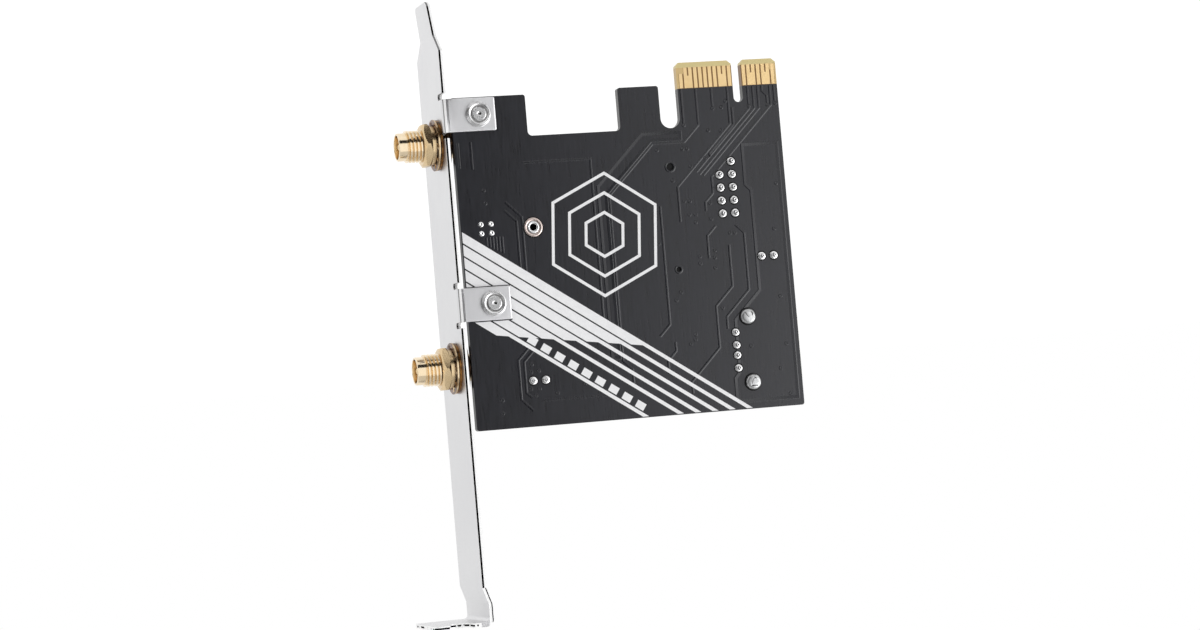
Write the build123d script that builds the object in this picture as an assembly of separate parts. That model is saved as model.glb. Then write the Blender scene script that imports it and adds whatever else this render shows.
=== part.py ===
from build123d import *

import os
from math import cos, radians, sin, tan

# A wireless network card for a computer's expansion slot, as it stands when
# installed. X runs along the card towards its bracket, Y is square to the
# board with the solder side facing -Y, and Z runs up from the slot. The origin
# is the centre of the key notch, at the tips of the edge contacts, halfway
# through the board. All sizes are in millimetres.

# Board
board_thick = 1.6
board_far_x = -8.25
board_near_x = 58.0
board_top_z = 68.5
key_width = 1.9
key_depth = 8.35
contact_end_x = 12.35
relief_width = 3.95
relief_depth = 12.75
hook_width = 8.3
hook_z = 4.35
wide_notch_width = 18.6
wide_notch_depth = 12.7
block_z = 4.7
corner_round = 0.5
notch_round = 0.9
tip_chamfer = 0.7
bevel_height = 1.05
bevel_depth = 0.42

# Gold contacts along the lower edge
contact_pitch = 1.0
contact_from_key = 1.5
contacts_long_side = 11
contacts_short_side = 7
contact_width = 0.7
contact_top_z = 5.1
contact_thick = 0.05
short_contact_drop = 1.2
joined_contact_numbers = (1, 8, 12, 15)
short_number_solder_side = 0
short_number_part_side = 16
joined_share = 0.6

# White print
print_thick = 0.05
print_margin = 0.2
stripe_angle = 34.4
stripe_start_z = 30.29
stripe_pitch = 2.0
stripe_gap = 0.28
stripe_count = 7
line_width = 0.68
field_end_high = (23.2, 54.6)
field_end_low = (51.6, 50.7)
dash_count = 9
dash_pitch = 3.1
dash_length = 1.9
dash_start = 21.5
motif_line = 0.65
motif_centre = (29.6, 32.6)
motif_radii = (12.2, 8.4, 4.6)

# Sheet steel bracket
bracket_thick = 0.86
bracket_width = 18.42
bracket_length = 120.02
bracket_gap = 1.05
bracket_overhang = 1.6
tongue_tip_z = -14.6
tongue_length = 6.75
tongue_tip_width = 9.2
tongue_root_width = 10.19
tongue_round = 1.5
tongue_lean = 6.0
shoulder_height = 3.4
jog_depth = 1.0
jog_from_top = 7.32
jog_height = 3.1
tab_reach = 11.43
tab_bend = 0.8
tab_round = 1.2
screw_notch_width = 4.42
screw_notch_depth = 5.1
screw_notch_from_bend = 6.35
ear_centres_z = (8.1, 44.4)
ear_height = 6.4
ear_reach = 8.5
ear_bend = 0.3
ear_corner = 0.3
ear_slot_width = 1.15
ear_slot_depth = 3.7
ear_screw_from_end = 5.1
collar_radius = 2.3
collar_height = 0.75
collar_round = 0.25

# Screws that hold the board to the bracket's ears
screw_radius = 1.45
screw_clearance = 0.05
board_hole_clearance = 0.25
screw_head_radius = 2.8
screw_head_height = 2.0
screw_head_slope = (0.9, 1.5)
recess_width = 0.75
recess_span = 3.0
recess_depth = 1.1
tip_dimple = 0.5

# Antenna ports
port_centres_z = (13.1, 56.1)
port_y = 4.0
port_radius = 3.1
port_core_radius = 2.8
port_thread_from_nut = 0.1
port_clearance = 0.1
nut_clearance = 0.05
port_reach = 8.2
port_lead_length = 1.7
port_lead_radius = 2.7
port_lead_chamfer = 0.25
port_bore_radius = 2.3
port_bore_depth = 2.4
port_flange_flats = 8.0
port_flange_thick = 1.0
port_boss_radius = 2.6
port_boss_length = 2.4
port_stub_radius = 0.9
port_stub_length = 5.0
dielectric_radius = 2.0
dielectric_rise = 0.6
centre_pin_radius = 0.63
centre_pin_rise = 1.5
flat_washer_thick = 0.5
flat_washer_radius = 4.85
lock_washer_radius = 4.95
lock_washer_ring = 0.95
lock_washer_thick = 0.32
lock_washer_height = 0.6
lock_tooth_count = 10
lock_tooth_twist = 20.0
lock_tooth_width = 1.3
nut_flats = 8.0
nut_height = 1.6
nut_collar_radius = 3.75
nut_collar_height = 0.8
nut_chamfer = 0.3
ferrule_radius = 1.5
ferrule_length = 4.6
ferrule_crimp_flats = 2.6
ferrule_crimp_length = 2.6

# Plug-in wireless module and its socket
module_width = 22.0
module_length = 30.0
module_thick = 0.8
module_centre_z = 30.33
module_key_offset = 2.625
module_key_width = 1.2
module_key_depth = 3.5
module_notch_radius = 1.75
standoff_x = 43.7
standoff_height = 2.4
standoff_radius = 2.75
standoff_stub_radius = 1.15
standoff_hole_radius = 0.675
standoff_bore_radius = 1.0
standoff_pad_radius = 1.85
module_screw_radius = 0.95
module_screw_length = 2.2
module_screw_head_radius = 2.3
module_screw_head_height = 0.8
module_screw_chamfer = 0.25
socket_end_inset = 0.05
socket_height = 4.2
socket_back = 2.8
socket_grip = 4.4
socket_end_wall = 0.75
socket_slot_clearance = 0.05
peg_from_module_edge = 1.5
peg_from_socket_end = 0.925
peg_radii = (0.75, 0.5)
peg_clearance = 0.05
peg_length = 1.3
tail_pitch = 0.5
tail_count = 36
tail_width = 0.22
tail_length = 0.9
tail_thick = 0.15
shield_margin_side = 1.4
shield_from_socket = 1.4
shield_length = 19.0
shield_height = 1.4
shield_wall = 0.2
shield_round = 0.5
jack_from_end = 2.6
jack_offset = 7.4
jack_base = 2.0
jack_base_height = 0.35
jack_ring_radius = 0.95
jack_wall = 0.2
jack_height = 0.6
jack_pin_radius = 0.2

# Nine-pin header
header_x = 2.7
header_z = 19.86
header_pitch = 2.54
header_columns = 2
header_rows = 5
header_missing = (1, 0)
header_pin = 0.64
header_base_height = 2.5
header_pin_rise = 6.0
header_groove = 0.5

# Plug socket on the board's far edge
usb_centre_z = 56.85
usb_lug_x = 1.98
usb_lug_to_pins = 2.71
usb_lug_to_mouth = 10.85
usb_pins_to_back = 0.6
usb_width = 13.14
usb_height = 7.0
usb_wall = 0.3
usb_lug_width = 2.2
usb_window_length = 5.0
usb_window_width = 2.2
usb_tongue_width = 11.1
usb_tongue_thick = 1.84
usb_tongue_from_top = 1.0
usb_tongue_recess = 0.9
usb_block_length = 4.0
usb_pin_offsets = (-3.5, -1.0, 1.0, 3.5)
usb_contact_width = 1.0
usb_contact_thick = 0.25
usb_tail_width = 0.5

# Electrolytic capacitors, each given by the middle of its two leads
capacitor_places = {"far": (-3.25, 38.8), "near": (44.94, 59.7)}
capacitor_radius = 3.15
capacitor_height = 7.0
capacitor_wall = 0.3
capacitor_lead_pitch = 2.5
capacitor_lead_radius = 0.25
capacitor_bung_height = 1.2
capacitor_groove_height = 1.8
capacitor_groove_depth = 0.35
capacitor_groove_width = 0.7
capacitor_top_chamfer = 0.35
capacitor_score_width = 0.25
capacitor_score_depth = 0.12

# Pins through the board and their solder
hole_clearance = 0.18
tail_beyond_board = 1.0
solder_height = 0.62
solder_spread = 0.28
solder_neck = 0.1
lug_solder_radius = 1.55
lug_solder_height = 0.8
lug_solder_chamfer = 0.25
pad_centre = (52.98, 30.07)
pad_spacing = (1.97, 1.74)
pad_radius = 0.5
pad_thick = 0.1

# Small surface-mounted parts, as length in x, height off the board and width in z
chip_size = (1.6, 0.8, 0.8)
chip_cap_share = 0.25
chip_capacitor_places = (
    (9.8, 14.6), (7.6, 14.6), (-2.2, 14.6), (-4.4, 14.6),
    (16.0, 44.6), (19.2, 44.6), (22.4, 44.6), (37.6, 44.6), (40.8, 44.6),
)
chip_resistor_places = (
    (10.6, 48.4), (10.6, 50.4), (10.6, 52.4), (10.6, 54.4), (16.4, 50.4), (16.4, 52.4),
)
regulator_centre = (33.0, 51.4)
regulator_size = (6.5, 1.6, 3.5)
regulator_lead_pitch = 2.3
regulator_lead_size = (0.7, 0.25, 1.6)
regulator_tab_width = 3.0
inductor_centre = (23.6, 52.0)
inductor_size = (5.2, 2.6, 5.2)
inductor_round = 1.0
inductor_top_chamfer = 0.2
inductor_foot_size = (0.5, 0.3, 3.0)

# Places worked out from the sizes above
solder_y = -board_thick / 2
part_y = board_thick / 2
inner_x = board_near_x + bracket_gap
outer_x = inner_x + bracket_thick
near_y = solder_y - bracket_overhang
far_y = near_y + bracket_width
tongue_root_z = tongue_tip_z + tongue_length
bracket_top_z = tongue_tip_z + bracket_length
jog_start_z = bracket_top_z - jog_from_top
jog_end_z = jog_start_z + jog_height
tab_inner_x = inner_x - jog_depth
tab_under_z = bracket_top_z - bracket_thick
ear_face_y = solder_y - bracket_thick
ear_tip_x = board_near_x - ear_reach
ear_screw_x = board_near_x - ear_screw_from_end
hook_start_x = contact_end_x + relief_width
hook_end_x = hook_start_x + hook_width
wide_notch_end_x = hook_end_x + wide_notch_width
port_tip_x = outer_x + port_reach
washer_x = outer_x + flat_washer_thick
nut_x = washer_x + lock_washer_height
nut_hex_x = nut_x + nut_collar_height
nut_end_x = nut_hex_x + nut_height
port_thread_x = nut_end_x + port_thread_from_nut
flange_x = inner_x - port_flange_thick
boss_x = flange_x - port_boss_length
module_edge_x = standoff_x - module_length
module_under_y = part_y + standoff_height
module_top_y = module_under_y + module_thick
peg_x = module_edge_x + peg_from_module_edge
socket_width = module_width - 2 * socket_end_inset
socket_slot_width = socket_width - 2 * socket_end_wall
peg_spacing = socket_width - 2 * peg_from_socket_end
socket_back_x = module_edge_x - socket_back
socket_front_x = module_edge_x + socket_grip
tail_end_y = solder_y - tail_beyond_board
usb_pin_x = usb_lug_x + usb_lug_to_pins
usb_mouth_x = usb_lug_x - usb_lug_to_mouth
usb_back_x = usb_pin_x + usb_pins_to_back
usb_top_y = part_y + usb_height
usb_tongue_top_y = usb_top_y - usb_tongue_from_top
usb_tongue_under_y = usb_tongue_top_y - usb_tongue_thick


def block(x0, x1, y0, y1, z0, z1):
    """A box between two opposite corners."""
    middle = Pos((x0 + x1) / 2, (y0 + y1) / 2, (z0 + z1) / 2)
    return middle * Box(x1 - x0, y1 - y0, z1 - z0)


def rod_x(radius, y, z, x0, x1):
    """A round bar along X."""
    return Pos((x0 + x1) / 2, y, z) * Rot(0, 90, 0) * Cylinder(radius, x1 - x0)


def rod_y(radius, x, z, y0, y1):
    """A round bar along Y."""
    return Pos(x, (y0 + y1) / 2, z) * Rot(90, 0, 0) * Cylinder(radius, y1 - y0)


def sheet(sketch, y0, y1):
    """A flat piece in the board's plane, cut to a sketch drawn in x and z."""
    face = Plane((0, y1, 0), x_dir=(1, 0, 0), z_dir=(0, -1, 0))
    return extrude(face * sketch, amount=y1 - y0, dir=(0, -1, 0))


def turned(points, y, z):
    """A piece turned about an axis along X, from a closed outline of (x, radius)."""
    outline = make_face(Polyline(*points, close=True))
    return Pos(0, y, z) * revolve(outline, Axis.X)


def hexagon_x(flats, y, z, x0, x1):
    """A hexagonal bar along X with one corner facing -Y."""
    corner_radius = flats / 2 / cos(radians(30))
    start = Plane((x0, y, z), x_dir=(0, 1, 0), z_dir=(1, 0, 0))
    return extrude(start * RegularPolygon(corner_radius, 6), amount=x1 - x0, dir=(1, 0, 0))


def rectangle(x0, x1, z0, z1):
    """A flat rectangle between two corners of a sketch."""
    return Pos((x0 + x1) / 2, (z0 + z1) / 2) * Rectangle(x1 - x0, z1 - z0)


def group(pieces):
    """Separate solids that share one node."""
    return Compound(children=[solid for piece in pieces for solid in piece.solids()])


def contact_places():
    """The x of each edge contact, from the bracket's side to the far side."""
    long_side = [
        contact_from_key + contact_pitch * (contacts_long_side - 1 - index)
        for index in range(contacts_long_side)
    ]
    short_side = [-contact_from_key - contact_pitch * index for index in range(contacts_short_side)]
    return long_side + short_side


def header_places():
    """The x and z of each pin of the header, without the one left out."""
    return [
        (header_x + header_pitch * column, header_z + header_pitch * row)
        for row in range(header_rows)
        for column in range(header_columns)
        if (column, row) != header_missing
    ]


def usb_pin_places():
    """The x and z of each pin of the plug socket."""
    return [(usb_pin_x, usb_centre_z + offset) for offset in usb_pin_offsets]


def usb_lug_places():
    """The x and z of the shell's two lugs, at the middle of their sheet."""
    half = (usb_width - usb_wall) / 2
    return [(usb_lug_x, usb_centre_z - half), (usb_lug_x, usb_centre_z + half)]


def lead_places(centre):
    """The x and z of a capacitor's two leads."""
    x, z = centre
    return [(x - capacitor_lead_pitch / 2, z), (x + capacitor_lead_pitch / 2, z)]


def board_outline():
    """The board's outline with its key, relief notch, hook and wide notch."""
    outline = rectangle(board_far_x, board_near_x, 0, board_top_z)
    outline -= rectangle(hook_start_x, hook_end_x, -1, hook_z)
    outline -= rectangle(wide_notch_end_x, board_near_x + 1, -1, block_z)
    outline -= rectangle(hook_end_x, wide_notch_end_x, -1, wide_notch_depth)
    for centre, width, depth in (
        (0, key_width, key_depth),
        ((contact_end_x + hook_start_x) / 2, relief_width, relief_depth),
    ):
        round_z = depth - width / 2
        outline -= rectangle(centre - width / 2, centre + width / 2, -1, round_z)
        outline -= Pos(centre, round_z) * Circle(width / 2)
    return outline


def rounded_board_outline():
    """The same outline with its corners rounded and its contact corners cut off."""
    outline = board_outline()
    tips = outline.vertices().filter_by(lambda corner: abs(corner.Y) < 0.01)
    outline = chamfer(tips, tip_chamfer)
    floor = outline.vertices().filter_by(
        lambda corner: abs(corner.Y - wide_notch_depth) < 0.01 and corner.X > hook_end_x - 0.01
    )
    outline = fillet(floor, notch_round)
    ends = outline.vertices().filter_by(
        lambda corner: min(
            abs(corner.Y - hook_z), abs(corner.Y - block_z), abs(corner.Y - board_top_z)
        ) < 0.01
    )
    return fillet(ends, corner_round)


def circuit_board():
    """The laminate, with bevelled contact edges and every drilled hole."""
    board = sheet(rounded_board_outline(), solder_y, part_y)
    for side in (-1, 1):
        wedge = Polygon(
            (side * part_y, 0),
            (side * part_y, bevel_height),
            (side * (part_y - bevel_depth), 0),
            (side * part_y, -1),
            align=None,
        )
        start = Plane.YZ.offset(board_far_x)
        board -= extrude(start * wedge, amount=hook_start_x - board_far_x, dir=(1, 0, 0))
    half_pin = header_pin / 2 * 2 ** 0.5
    holes = [(x, z, half_pin + hole_clearance / 2) for x, z in header_places()]
    holes += [(x, z, usb_tail_width / 2 * 2 ** 0.5 + hole_clearance) for x, z in usb_pin_places()]
    for centre in capacitor_places.values():
        holes += [(x, z, capacitor_lead_radius + hole_clearance) for x, z in lead_places(centre)]
    holes += [(x, z, radius + peg_clearance) for x, z, radius in peg_places()]
    holes += [(standoff_x, module_centre_z, standoff_stub_radius + peg_clearance)]
    holes += [(ear_screw_x, z, screw_radius + board_hole_clearance) for z in ear_centres_z]
    for x, z, radius in holes:
        board -= rod_y(radius, x, z, solder_y - 1, part_y + 1)
    slot = SlotOverall(usb_lug_width + 2 * hole_clearance + usb_wall, usb_wall + 2 * hole_clearance)
    for x, z in usb_lug_places():
        board -= sheet(Pos(x, z) * slot, solder_y - 1, part_y + 1)
    return board


def contact_sketch(short_number):
    """Contacts of one face, with some joined in pairs and one shorter than the rest."""
    places = contact_places()
    half = contact_width / 2
    joined_z = contact_top_z - joined_share * (contact_top_z - bevel_height)
    drawn = Sketch()
    for index, x in enumerate(places):
        start = bevel_height + (short_contact_drop if index == short_number else 0)
        drawn += rectangle(x - half, x + half, start, contact_top_z)
        if index in joined_contact_numbers:
            drawn += rectangle(x - contact_pitch - half, x + half, joined_z, contact_top_z)
    return drawn


def edge_contacts_solder_side():
    """Gold contacts on the solder side."""
    return sheet(contact_sketch(short_number_solder_side), solder_y - contact_thick, solder_y)


def edge_contacts_part_side():
    """Gold contacts on the side that carries the parts."""
    return sheet(contact_sketch(short_number_part_side), part_y, part_y + contact_thick)


def along_stripes(along, across):
    """A point of the print, from the corner where the stripes start."""
    angle = radians(stripe_angle)
    x = board_near_x - along * cos(angle) + across * sin(angle)
    return x, stripe_start_z + along * sin(angle) + across * cos(angle)


def stripe(start, end, high, low):
    """One slanting band of the print."""
    corners = [(start, high), (end, high), (end, low), (start, low)]
    return Polygon(*[along_stripes(*corner) for corner in corners], align=None)


def field_end_z(x):
    """Where the wide white fields end, as z at a given x."""
    x0, z0 = field_end_high
    x1, z1 = field_end_low
    return z0 + (x - x0) * (z1 - z0) / (x1 - x0)


def stripe_print():
    """Seven wide white bands that turn into thin lines, and a row of plain dashes."""
    left = board_far_x + print_margin
    right = board_near_x - print_margin
    top = board_top_z - print_margin
    wide_part = Polygon(
        (left, field_end_z(left)), (right, field_end_z(right)), (right, 0), (left, 0), align=None
    )
    thin_part = Polygon(
        (left, field_end_z(left)), (right, field_end_z(right)), (right, top), (left, top), align=None
    )
    reach = board_top_z + board_near_x
    drawn = Sketch()
    for index in range(stripe_count):
        high = stripe_pitch * index
        drawn += stripe(-reach, reach, high, high + stripe_pitch - stripe_gap) & wide_part
        if index != stripe_count - 2:
            drawn += stripe(-reach, reach, high, high + line_width) & thin_part
    dash_high = stripe_pitch * (stripe_count - 2) + stripe_gap
    dash_low = stripe_pitch * (stripe_count - 1) - stripe_gap
    for index in range(dash_count):
        start = dash_start + dash_pitch * index
        drawn += stripe(start, start + dash_length, dash_high, dash_low) & thin_part
    for z in ear_centres_z:
        hole = screw_radius + board_hole_clearance + print_margin
        drawn -= Pos(ear_screw_x, z) * Circle(hole)
    under_ear = rectangle(ear_tip_x - print_margin, board_near_x, ear_centres_z[1] - ear_height,
                          ear_centres_z[1] + ear_height / 2 + print_margin)
    drawn -= under_ear & rectangle(ear_tip_x - print_margin, board_near_x,
                                   ear_centres_z[1] - ear_height / 2 - print_margin, board_top_z)
    return sheet(drawn, solder_y - print_thick, solder_y)


def motif_print():
    """A plain line motif of nested hexagons."""
    drawn = Sketch()
    for radius in motif_radii:
        ring = RegularPolygon(radius, 6) - RegularPolygon(radius - motif_line, 6)
        drawn += ring
    x, z = motif_centre
    return sheet(Pos(x, z) * Rot(0, 0, -stripe_angle) * drawn, solder_y - print_thick, solder_y)


def bracket_profile():
    """The bracket from its side: tongue, long face, jog, bend and tab."""
    lean = tongue_length * tan(radians(tongue_lean))
    tab_end_x = tab_inner_x + tab_reach
    outline = Polygon(
        (inner_x + lean, tongue_tip_z),
        (inner_x, tongue_root_z),
        (inner_x, jog_start_z),
        (tab_inner_x, jog_end_z),
        (tab_inner_x, bracket_top_z),
        (tab_end_x, bracket_top_z),
        (tab_end_x, tab_under_z),
        (tab_inner_x + bracket_thick, tab_under_z),
        (tab_inner_x + bracket_thick, jog_end_z),
        (outer_x, jog_start_z),
        (outer_x, tongue_root_z),
        (outer_x + lean, tongue_tip_z),
        align=None,
    )
    inside = outline.vertices().sort_by_distance((tab_inner_x + bracket_thick, tab_under_z, 0))[0]
    outline = fillet(inside, tab_bend)
    outside = outline.vertices().sort_by_distance((tab_inner_x, bracket_top_z, 0))[0]
    return fillet(outside, tab_bend + bracket_thick)


def bracket_front():
    """The bracket from outside the computer: the narrow tongue and its shoulders."""
    middle = (near_y + far_y) / 2
    shoulder_z = tongue_root_z + shoulder_height
    beyond = bracket_top_z + 1
    outline = Polygon(
        (middle - tongue_tip_width / 2, tongue_tip_z),
        (middle - tongue_root_width / 2, tongue_root_z),
        (near_y, shoulder_z),
        (near_y, beyond),
        (far_y, beyond),
        (far_y, shoulder_z),
        (middle + tongue_root_width / 2, tongue_root_z),
        (middle + tongue_tip_width / 2, tongue_tip_z),
        align=None,
    )
    tips = outline.vertices().sort_by(Axis.Y)[:2]
    return fillet(tips, tongue_round)


def ear(z):
    """One ear, bent from the bracket's near edge to lie on the board."""
    join_y = near_y + ear_slot_depth - ear_slot_width / 2
    outline = Polygon(
        (ear_tip_x, ear_face_y),
        (outer_x, ear_face_y),
        (outer_x, join_y),
        (inner_x, join_y),
        (inner_x, solder_y),
        (ear_tip_x, solder_y),
        align=None,
    )
    outside = outline.vertices().sort_by_distance((outer_x, ear_face_y, 0))[0]
    outline = fillet(outside, ear_bend + bracket_thick)
    inside = outline.vertices().sort_by_distance((inner_x, solder_y, 0))[0]
    outline = fillet(inside, ear_bend)
    bent = extrude(Plane.XY.offset(z - ear_height / 2) * outline, amount=ear_height, dir=(0, 0, 1))
    tips = bent.edges().filter_by(Axis.Y).sort_by(Axis.X)[:2]
    bent = fillet(tips, ear_corner)
    collar = rod_y(collar_radius, ear_screw_x, z, ear_face_y - collar_height, ear_face_y)
    rim = collar.edges().filter_by(GeomType.CIRCLE).sort_by(Axis.Y)[0]
    bent += fillet(rim, collar_round)
    hole = screw_radius + screw_clearance
    return bent - rod_y(hole, ear_screw_x, z, ear_face_y - 2 * collar_height, solder_y + 1)


def ear_clearing(z):
    """What is cut from the bracket's near edge to free one ear."""
    bend_y = ear_face_y + ear_bend + bracket_thick
    cut = block(inner_x - 1, outer_x + 1, near_y - 1, bend_y, z - ear_height / 2, z + ear_height / 2)
    end_y = near_y + ear_slot_depth - ear_slot_width / 2
    for side in (-1, 1):
        slot_z = z + side * (ear_height + ear_slot_width) / 2
        half = ear_slot_width / 2
        cut += block(inner_x - 1, outer_x + 1, near_y - 1, end_y, slot_z - half, slot_z + half)
        cut += rod_x(half, end_y, slot_z, inner_x - 1, outer_x + 1)
    return cut


def bracket():
    """The folded sheet-steel bracket with its tongue, tab, ears and port holes."""
    plate = sheet(bracket_profile(), near_y, far_y)
    start = Plane((inner_x - tab_reach, 0, 0), x_dir=(0, 1, 0), z_dir=(1, 0, 0))
    plate = plate & extrude(start * bracket_front(), amount=3 * tab_reach, dir=(1, 0, 0))
    tab_ends = plate.edges().filter_by(Axis.Z).sort_by(Axis.X)[-2:]
    plate = fillet(tab_ends, tab_round)
    notch_x = tab_inner_x + screw_notch_from_bend
    notch_half = screw_notch_width / 2
    notch_end_y = near_y + screw_notch_depth - notch_half
    below = tab_under_z - 1
    above = bracket_top_z + 1
    plate -= block(notch_x - notch_half, notch_x + notch_half, near_y - 1, notch_end_y, below, above)
    plate -= Pos(notch_x, notch_end_y, tab_under_z) * Cylinder(notch_half, 4 * bracket_thick)
    for z in ear_centres_z:
        plate -= ear_clearing(z)
        plate += ear(z)
    for z in port_centres_z:
        plate -= rod_x(port_radius + port_clearance, port_y, z, inner_x - 1, outer_x + 1)
    return plate


def bracket_screw(z):
    """A pan-head screw from the part side, through the board into an ear."""
    x = ear_screw_x
    tip_y = ear_face_y - collar_height
    head = rod_y(screw_head_radius, x, z, part_y, part_y + screw_head_height)
    crown = head.edges().filter_by(GeomType.CIRCLE).sort_by(Axis.Y)[-1]
    drop, inset = screw_head_slope
    head = chamfer(crown, drop, inset)
    floor_y = part_y + screw_head_height - recess_depth
    top_y = part_y + screw_head_height + 1
    half = recess_span / 2
    thin = recess_width / 2
    head -= block(x - half, x + half, floor_y, top_y, z - thin, z + thin)
    head -= block(x - thin, x + thin, floor_y, top_y, z - half, z + half)
    shank = rod_y(screw_radius, x, z, tip_y, part_y)
    shank = chamfer(shank.edges().filter_by(GeomType.CIRCLE).sort_by(Axis.Y)[0], screw_clearance * 4)
    dimple = Cone(0.01, tip_dimple, tip_dimple)
    shank -= Pos(x, tip_y + tip_dimple / 2, z) * Rot(90, 0, 0) * dimple
    return head + shank


def port_body(z):
    """The gold body of an antenna port, turned with a hexagonal flange."""
    bore_end_x = port_tip_x - port_bore_depth
    lead_x = port_tip_x - port_lead_length
    step = port_radius - port_lead_radius
    body = turned(
        [
            (boss_x, 0),
            (boss_x, port_boss_radius),
            (flange_x, port_boss_radius),
            (flange_x, port_core_radius),
            (port_thread_x, port_core_radius),
            (port_thread_x, port_radius),
            (lead_x - step, port_radius),
            (lead_x, port_lead_radius),
            (port_tip_x - port_lead_chamfer, port_lead_radius),
            (port_tip_x, port_lead_radius - port_lead_chamfer),
            (port_tip_x, 0),
        ],
        port_y,
        z,
    )
    body += hexagon_x(port_flange_flats, port_y, z, flange_x, inner_x)
    body += rod_x(port_stub_radius, port_y, z, boss_x - port_stub_length, boss_x)
    body -= rod_x(port_bore_radius, port_y, z, bore_end_x, port_tip_x + 1)
    return body - rod_x(dielectric_radius, port_y, z, flange_x, bore_end_x + 1)


def port_dielectric(z):
    """The white insulating sleeve inside a port."""
    front_x = port_tip_x - port_bore_depth + dielectric_rise
    sleeve = rod_x(dielectric_radius - screw_clearance, port_y, z, flange_x, front_x)
    return sleeve - rod_x(centre_pin_radius, port_y, z, flange_x, front_x + 1)


def port_centre_pin(z):
    """The centre contact of a port, with a rounded end."""
    front_x = port_tip_x - port_bore_depth + dielectric_rise + centre_pin_rise
    pin = rod_x(centre_pin_radius, port_y, z, flange_x, front_x)
    tip = pin.edges().filter_by(GeomType.CIRCLE).sort_by(Axis.X)[-1]
    return fillet(tip, centre_pin_radius * 0.6)


def port_flat_washer(z):
    """The flat washer that lies on the bracket's face."""
    disc = rod_x(flat_washer_radius, port_y, z, outer_x, washer_x)
    return disc - rod_x(port_radius + port_clearance, port_y, z, outer_x - 1, washer_x + 1)


def port_lock_washer(z):
    """The lock washer, a ring whose inner teeth are twisted out of its plane."""
    ring_inner = lock_washer_radius - lock_washer_ring
    hole = port_radius + port_clearance
    middle_x = washer_x + lock_washer_height / 2
    half = lock_washer_thick / 2
    ring = rod_x(lock_washer_radius, port_y, z, middle_x - half, middle_x + half)
    ring -= rod_x(ring_inner, port_y, z, middle_x - 1, middle_x + 1)
    tooth_length = ring_inner - hole + lock_washer_ring / 2
    tooth = Rot(0, 0, lock_tooth_twist) * Box(lock_washer_thick, lock_tooth_width, tooth_length)
    tooth = Pos(0, 0, hole + tooth_length / 2) * tooth
    reach = 2 * lock_washer_radius
    slab = block(washer_x, nut_x, port_y - reach, port_y + reach, z - reach, z + reach)
    for index in range(lock_tooth_count):
        turn = Rot(360 / lock_tooth_count * index, 0, 0)
        ring += Pos(middle_x, port_y, z) * turn * tooth & slab
    return ring - rod_x(hole, port_y, z, washer_x - 1, nut_x + 1)


def port_nut(z):
    """The hexagonal nut with the round collar under it and chamfered corners."""
    end_x = nut_end_x
    corner = nut_flats / 2 / cos(radians(30))
    rise = (corner - nut_flats / 2) * tan(radians(30)) + nut_chamfer
    envelope = turned(
        [
            (nut_hex_x, 0),
            (nut_hex_x, nut_flats / 2),
            (nut_hex_x + rise, corner + 0.1),
            (end_x - rise, corner + 0.1),
            (end_x, nut_flats / 2 - nut_chamfer),
            (end_x, 0),
        ],
        port_y,
        z,
    )
    nut = hexagon_x(nut_flats, port_y, z, nut_hex_x, end_x) & envelope
    nut += rod_x(nut_collar_radius, port_y, z, nut_x, nut_hex_x)
    return nut - rod_x(port_core_radius + nut_clearance, port_y, z, nut_x - 1, end_x + 1)


def port_ferrule(z):
    """The crimped sleeve on a port's rear stub."""
    end_x = boss_x - ferrule_length
    crimp_x = boss_x - (ferrule_length - ferrule_crimp_length) / 2
    sleeve = rod_x(ferrule_radius, port_y, z, end_x, boss_x)
    sleeve -= rod_x(ferrule_radius + 1, port_y, z, crimp_x - ferrule_crimp_length, crimp_x)
    sleeve += hexagon_x(ferrule_crimp_flats, port_y, z, crimp_x - ferrule_crimp_length, crimp_x)
    return sleeve - rod_x(port_stub_radius + 0.02, port_y, z, end_x - 1, boss_x + 1)


def peg_places():
    """The x, z and radius of the two pegs under the module's socket."""
    low = module_centre_z - peg_spacing / 2
    high = module_centre_z + peg_spacing / 2
    return [(peg_x, low, peg_radii[0]), (peg_x, high, peg_radii[1])]


def module_socket():
    """The black housing that takes the module's edge, with its key and two pegs."""
    half = socket_width / 2
    low = module_centre_z - half
    high = module_centre_z + half
    top_y = part_y + socket_height
    housing = block(socket_back_x, socket_front_x, part_y, top_y, low, high)
    rear_top = housing.edges().filter_by(Axis.Z).sort_by_distance((socket_back_x, top_y, 0))[0]
    housing = chamfer(rear_top, 0.6)
    slot_half = socket_slot_width / 2
    slot = block(
        module_edge_x - socket_slot_clearance,
        socket_front_x + 1,
        module_under_y - socket_slot_clearance,
        module_top_y + socket_slot_clearance,
        module_centre_z - slot_half,
        module_centre_z + slot_half,
    )
    key_z = module_centre_z + module_key_offset
    key_half = module_key_width / 2 - 0.1
    slot -= block(
        module_edge_x - 1,
        module_edge_x + module_key_depth - module_key_width,
        part_y,
        top_y,
        key_z - key_half,
        key_z + key_half,
    )
    housing -= slot
    for x, z, radius in peg_places():
        housing += rod_y(radius, x, z, part_y - peg_length, part_y)
    return housing


def module_socket_tails():
    """The socket's soldered tails, in one row at its back and one at its front."""
    first_z = module_centre_z - tail_pitch * (tail_count - 1) / 2
    half = tail_width / 2
    tails = []
    for index in range(tail_count):
        z = first_z + tail_pitch * index
        for x0, x1 in (
            (socket_back_x - tail_length, socket_back_x),
            (socket_front_x, socket_front_x + tail_length),
        ):
            tails.append(block(x0, x1, part_y, part_y + tail_thick, z - half, z + half))
    return group(tails)


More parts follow.
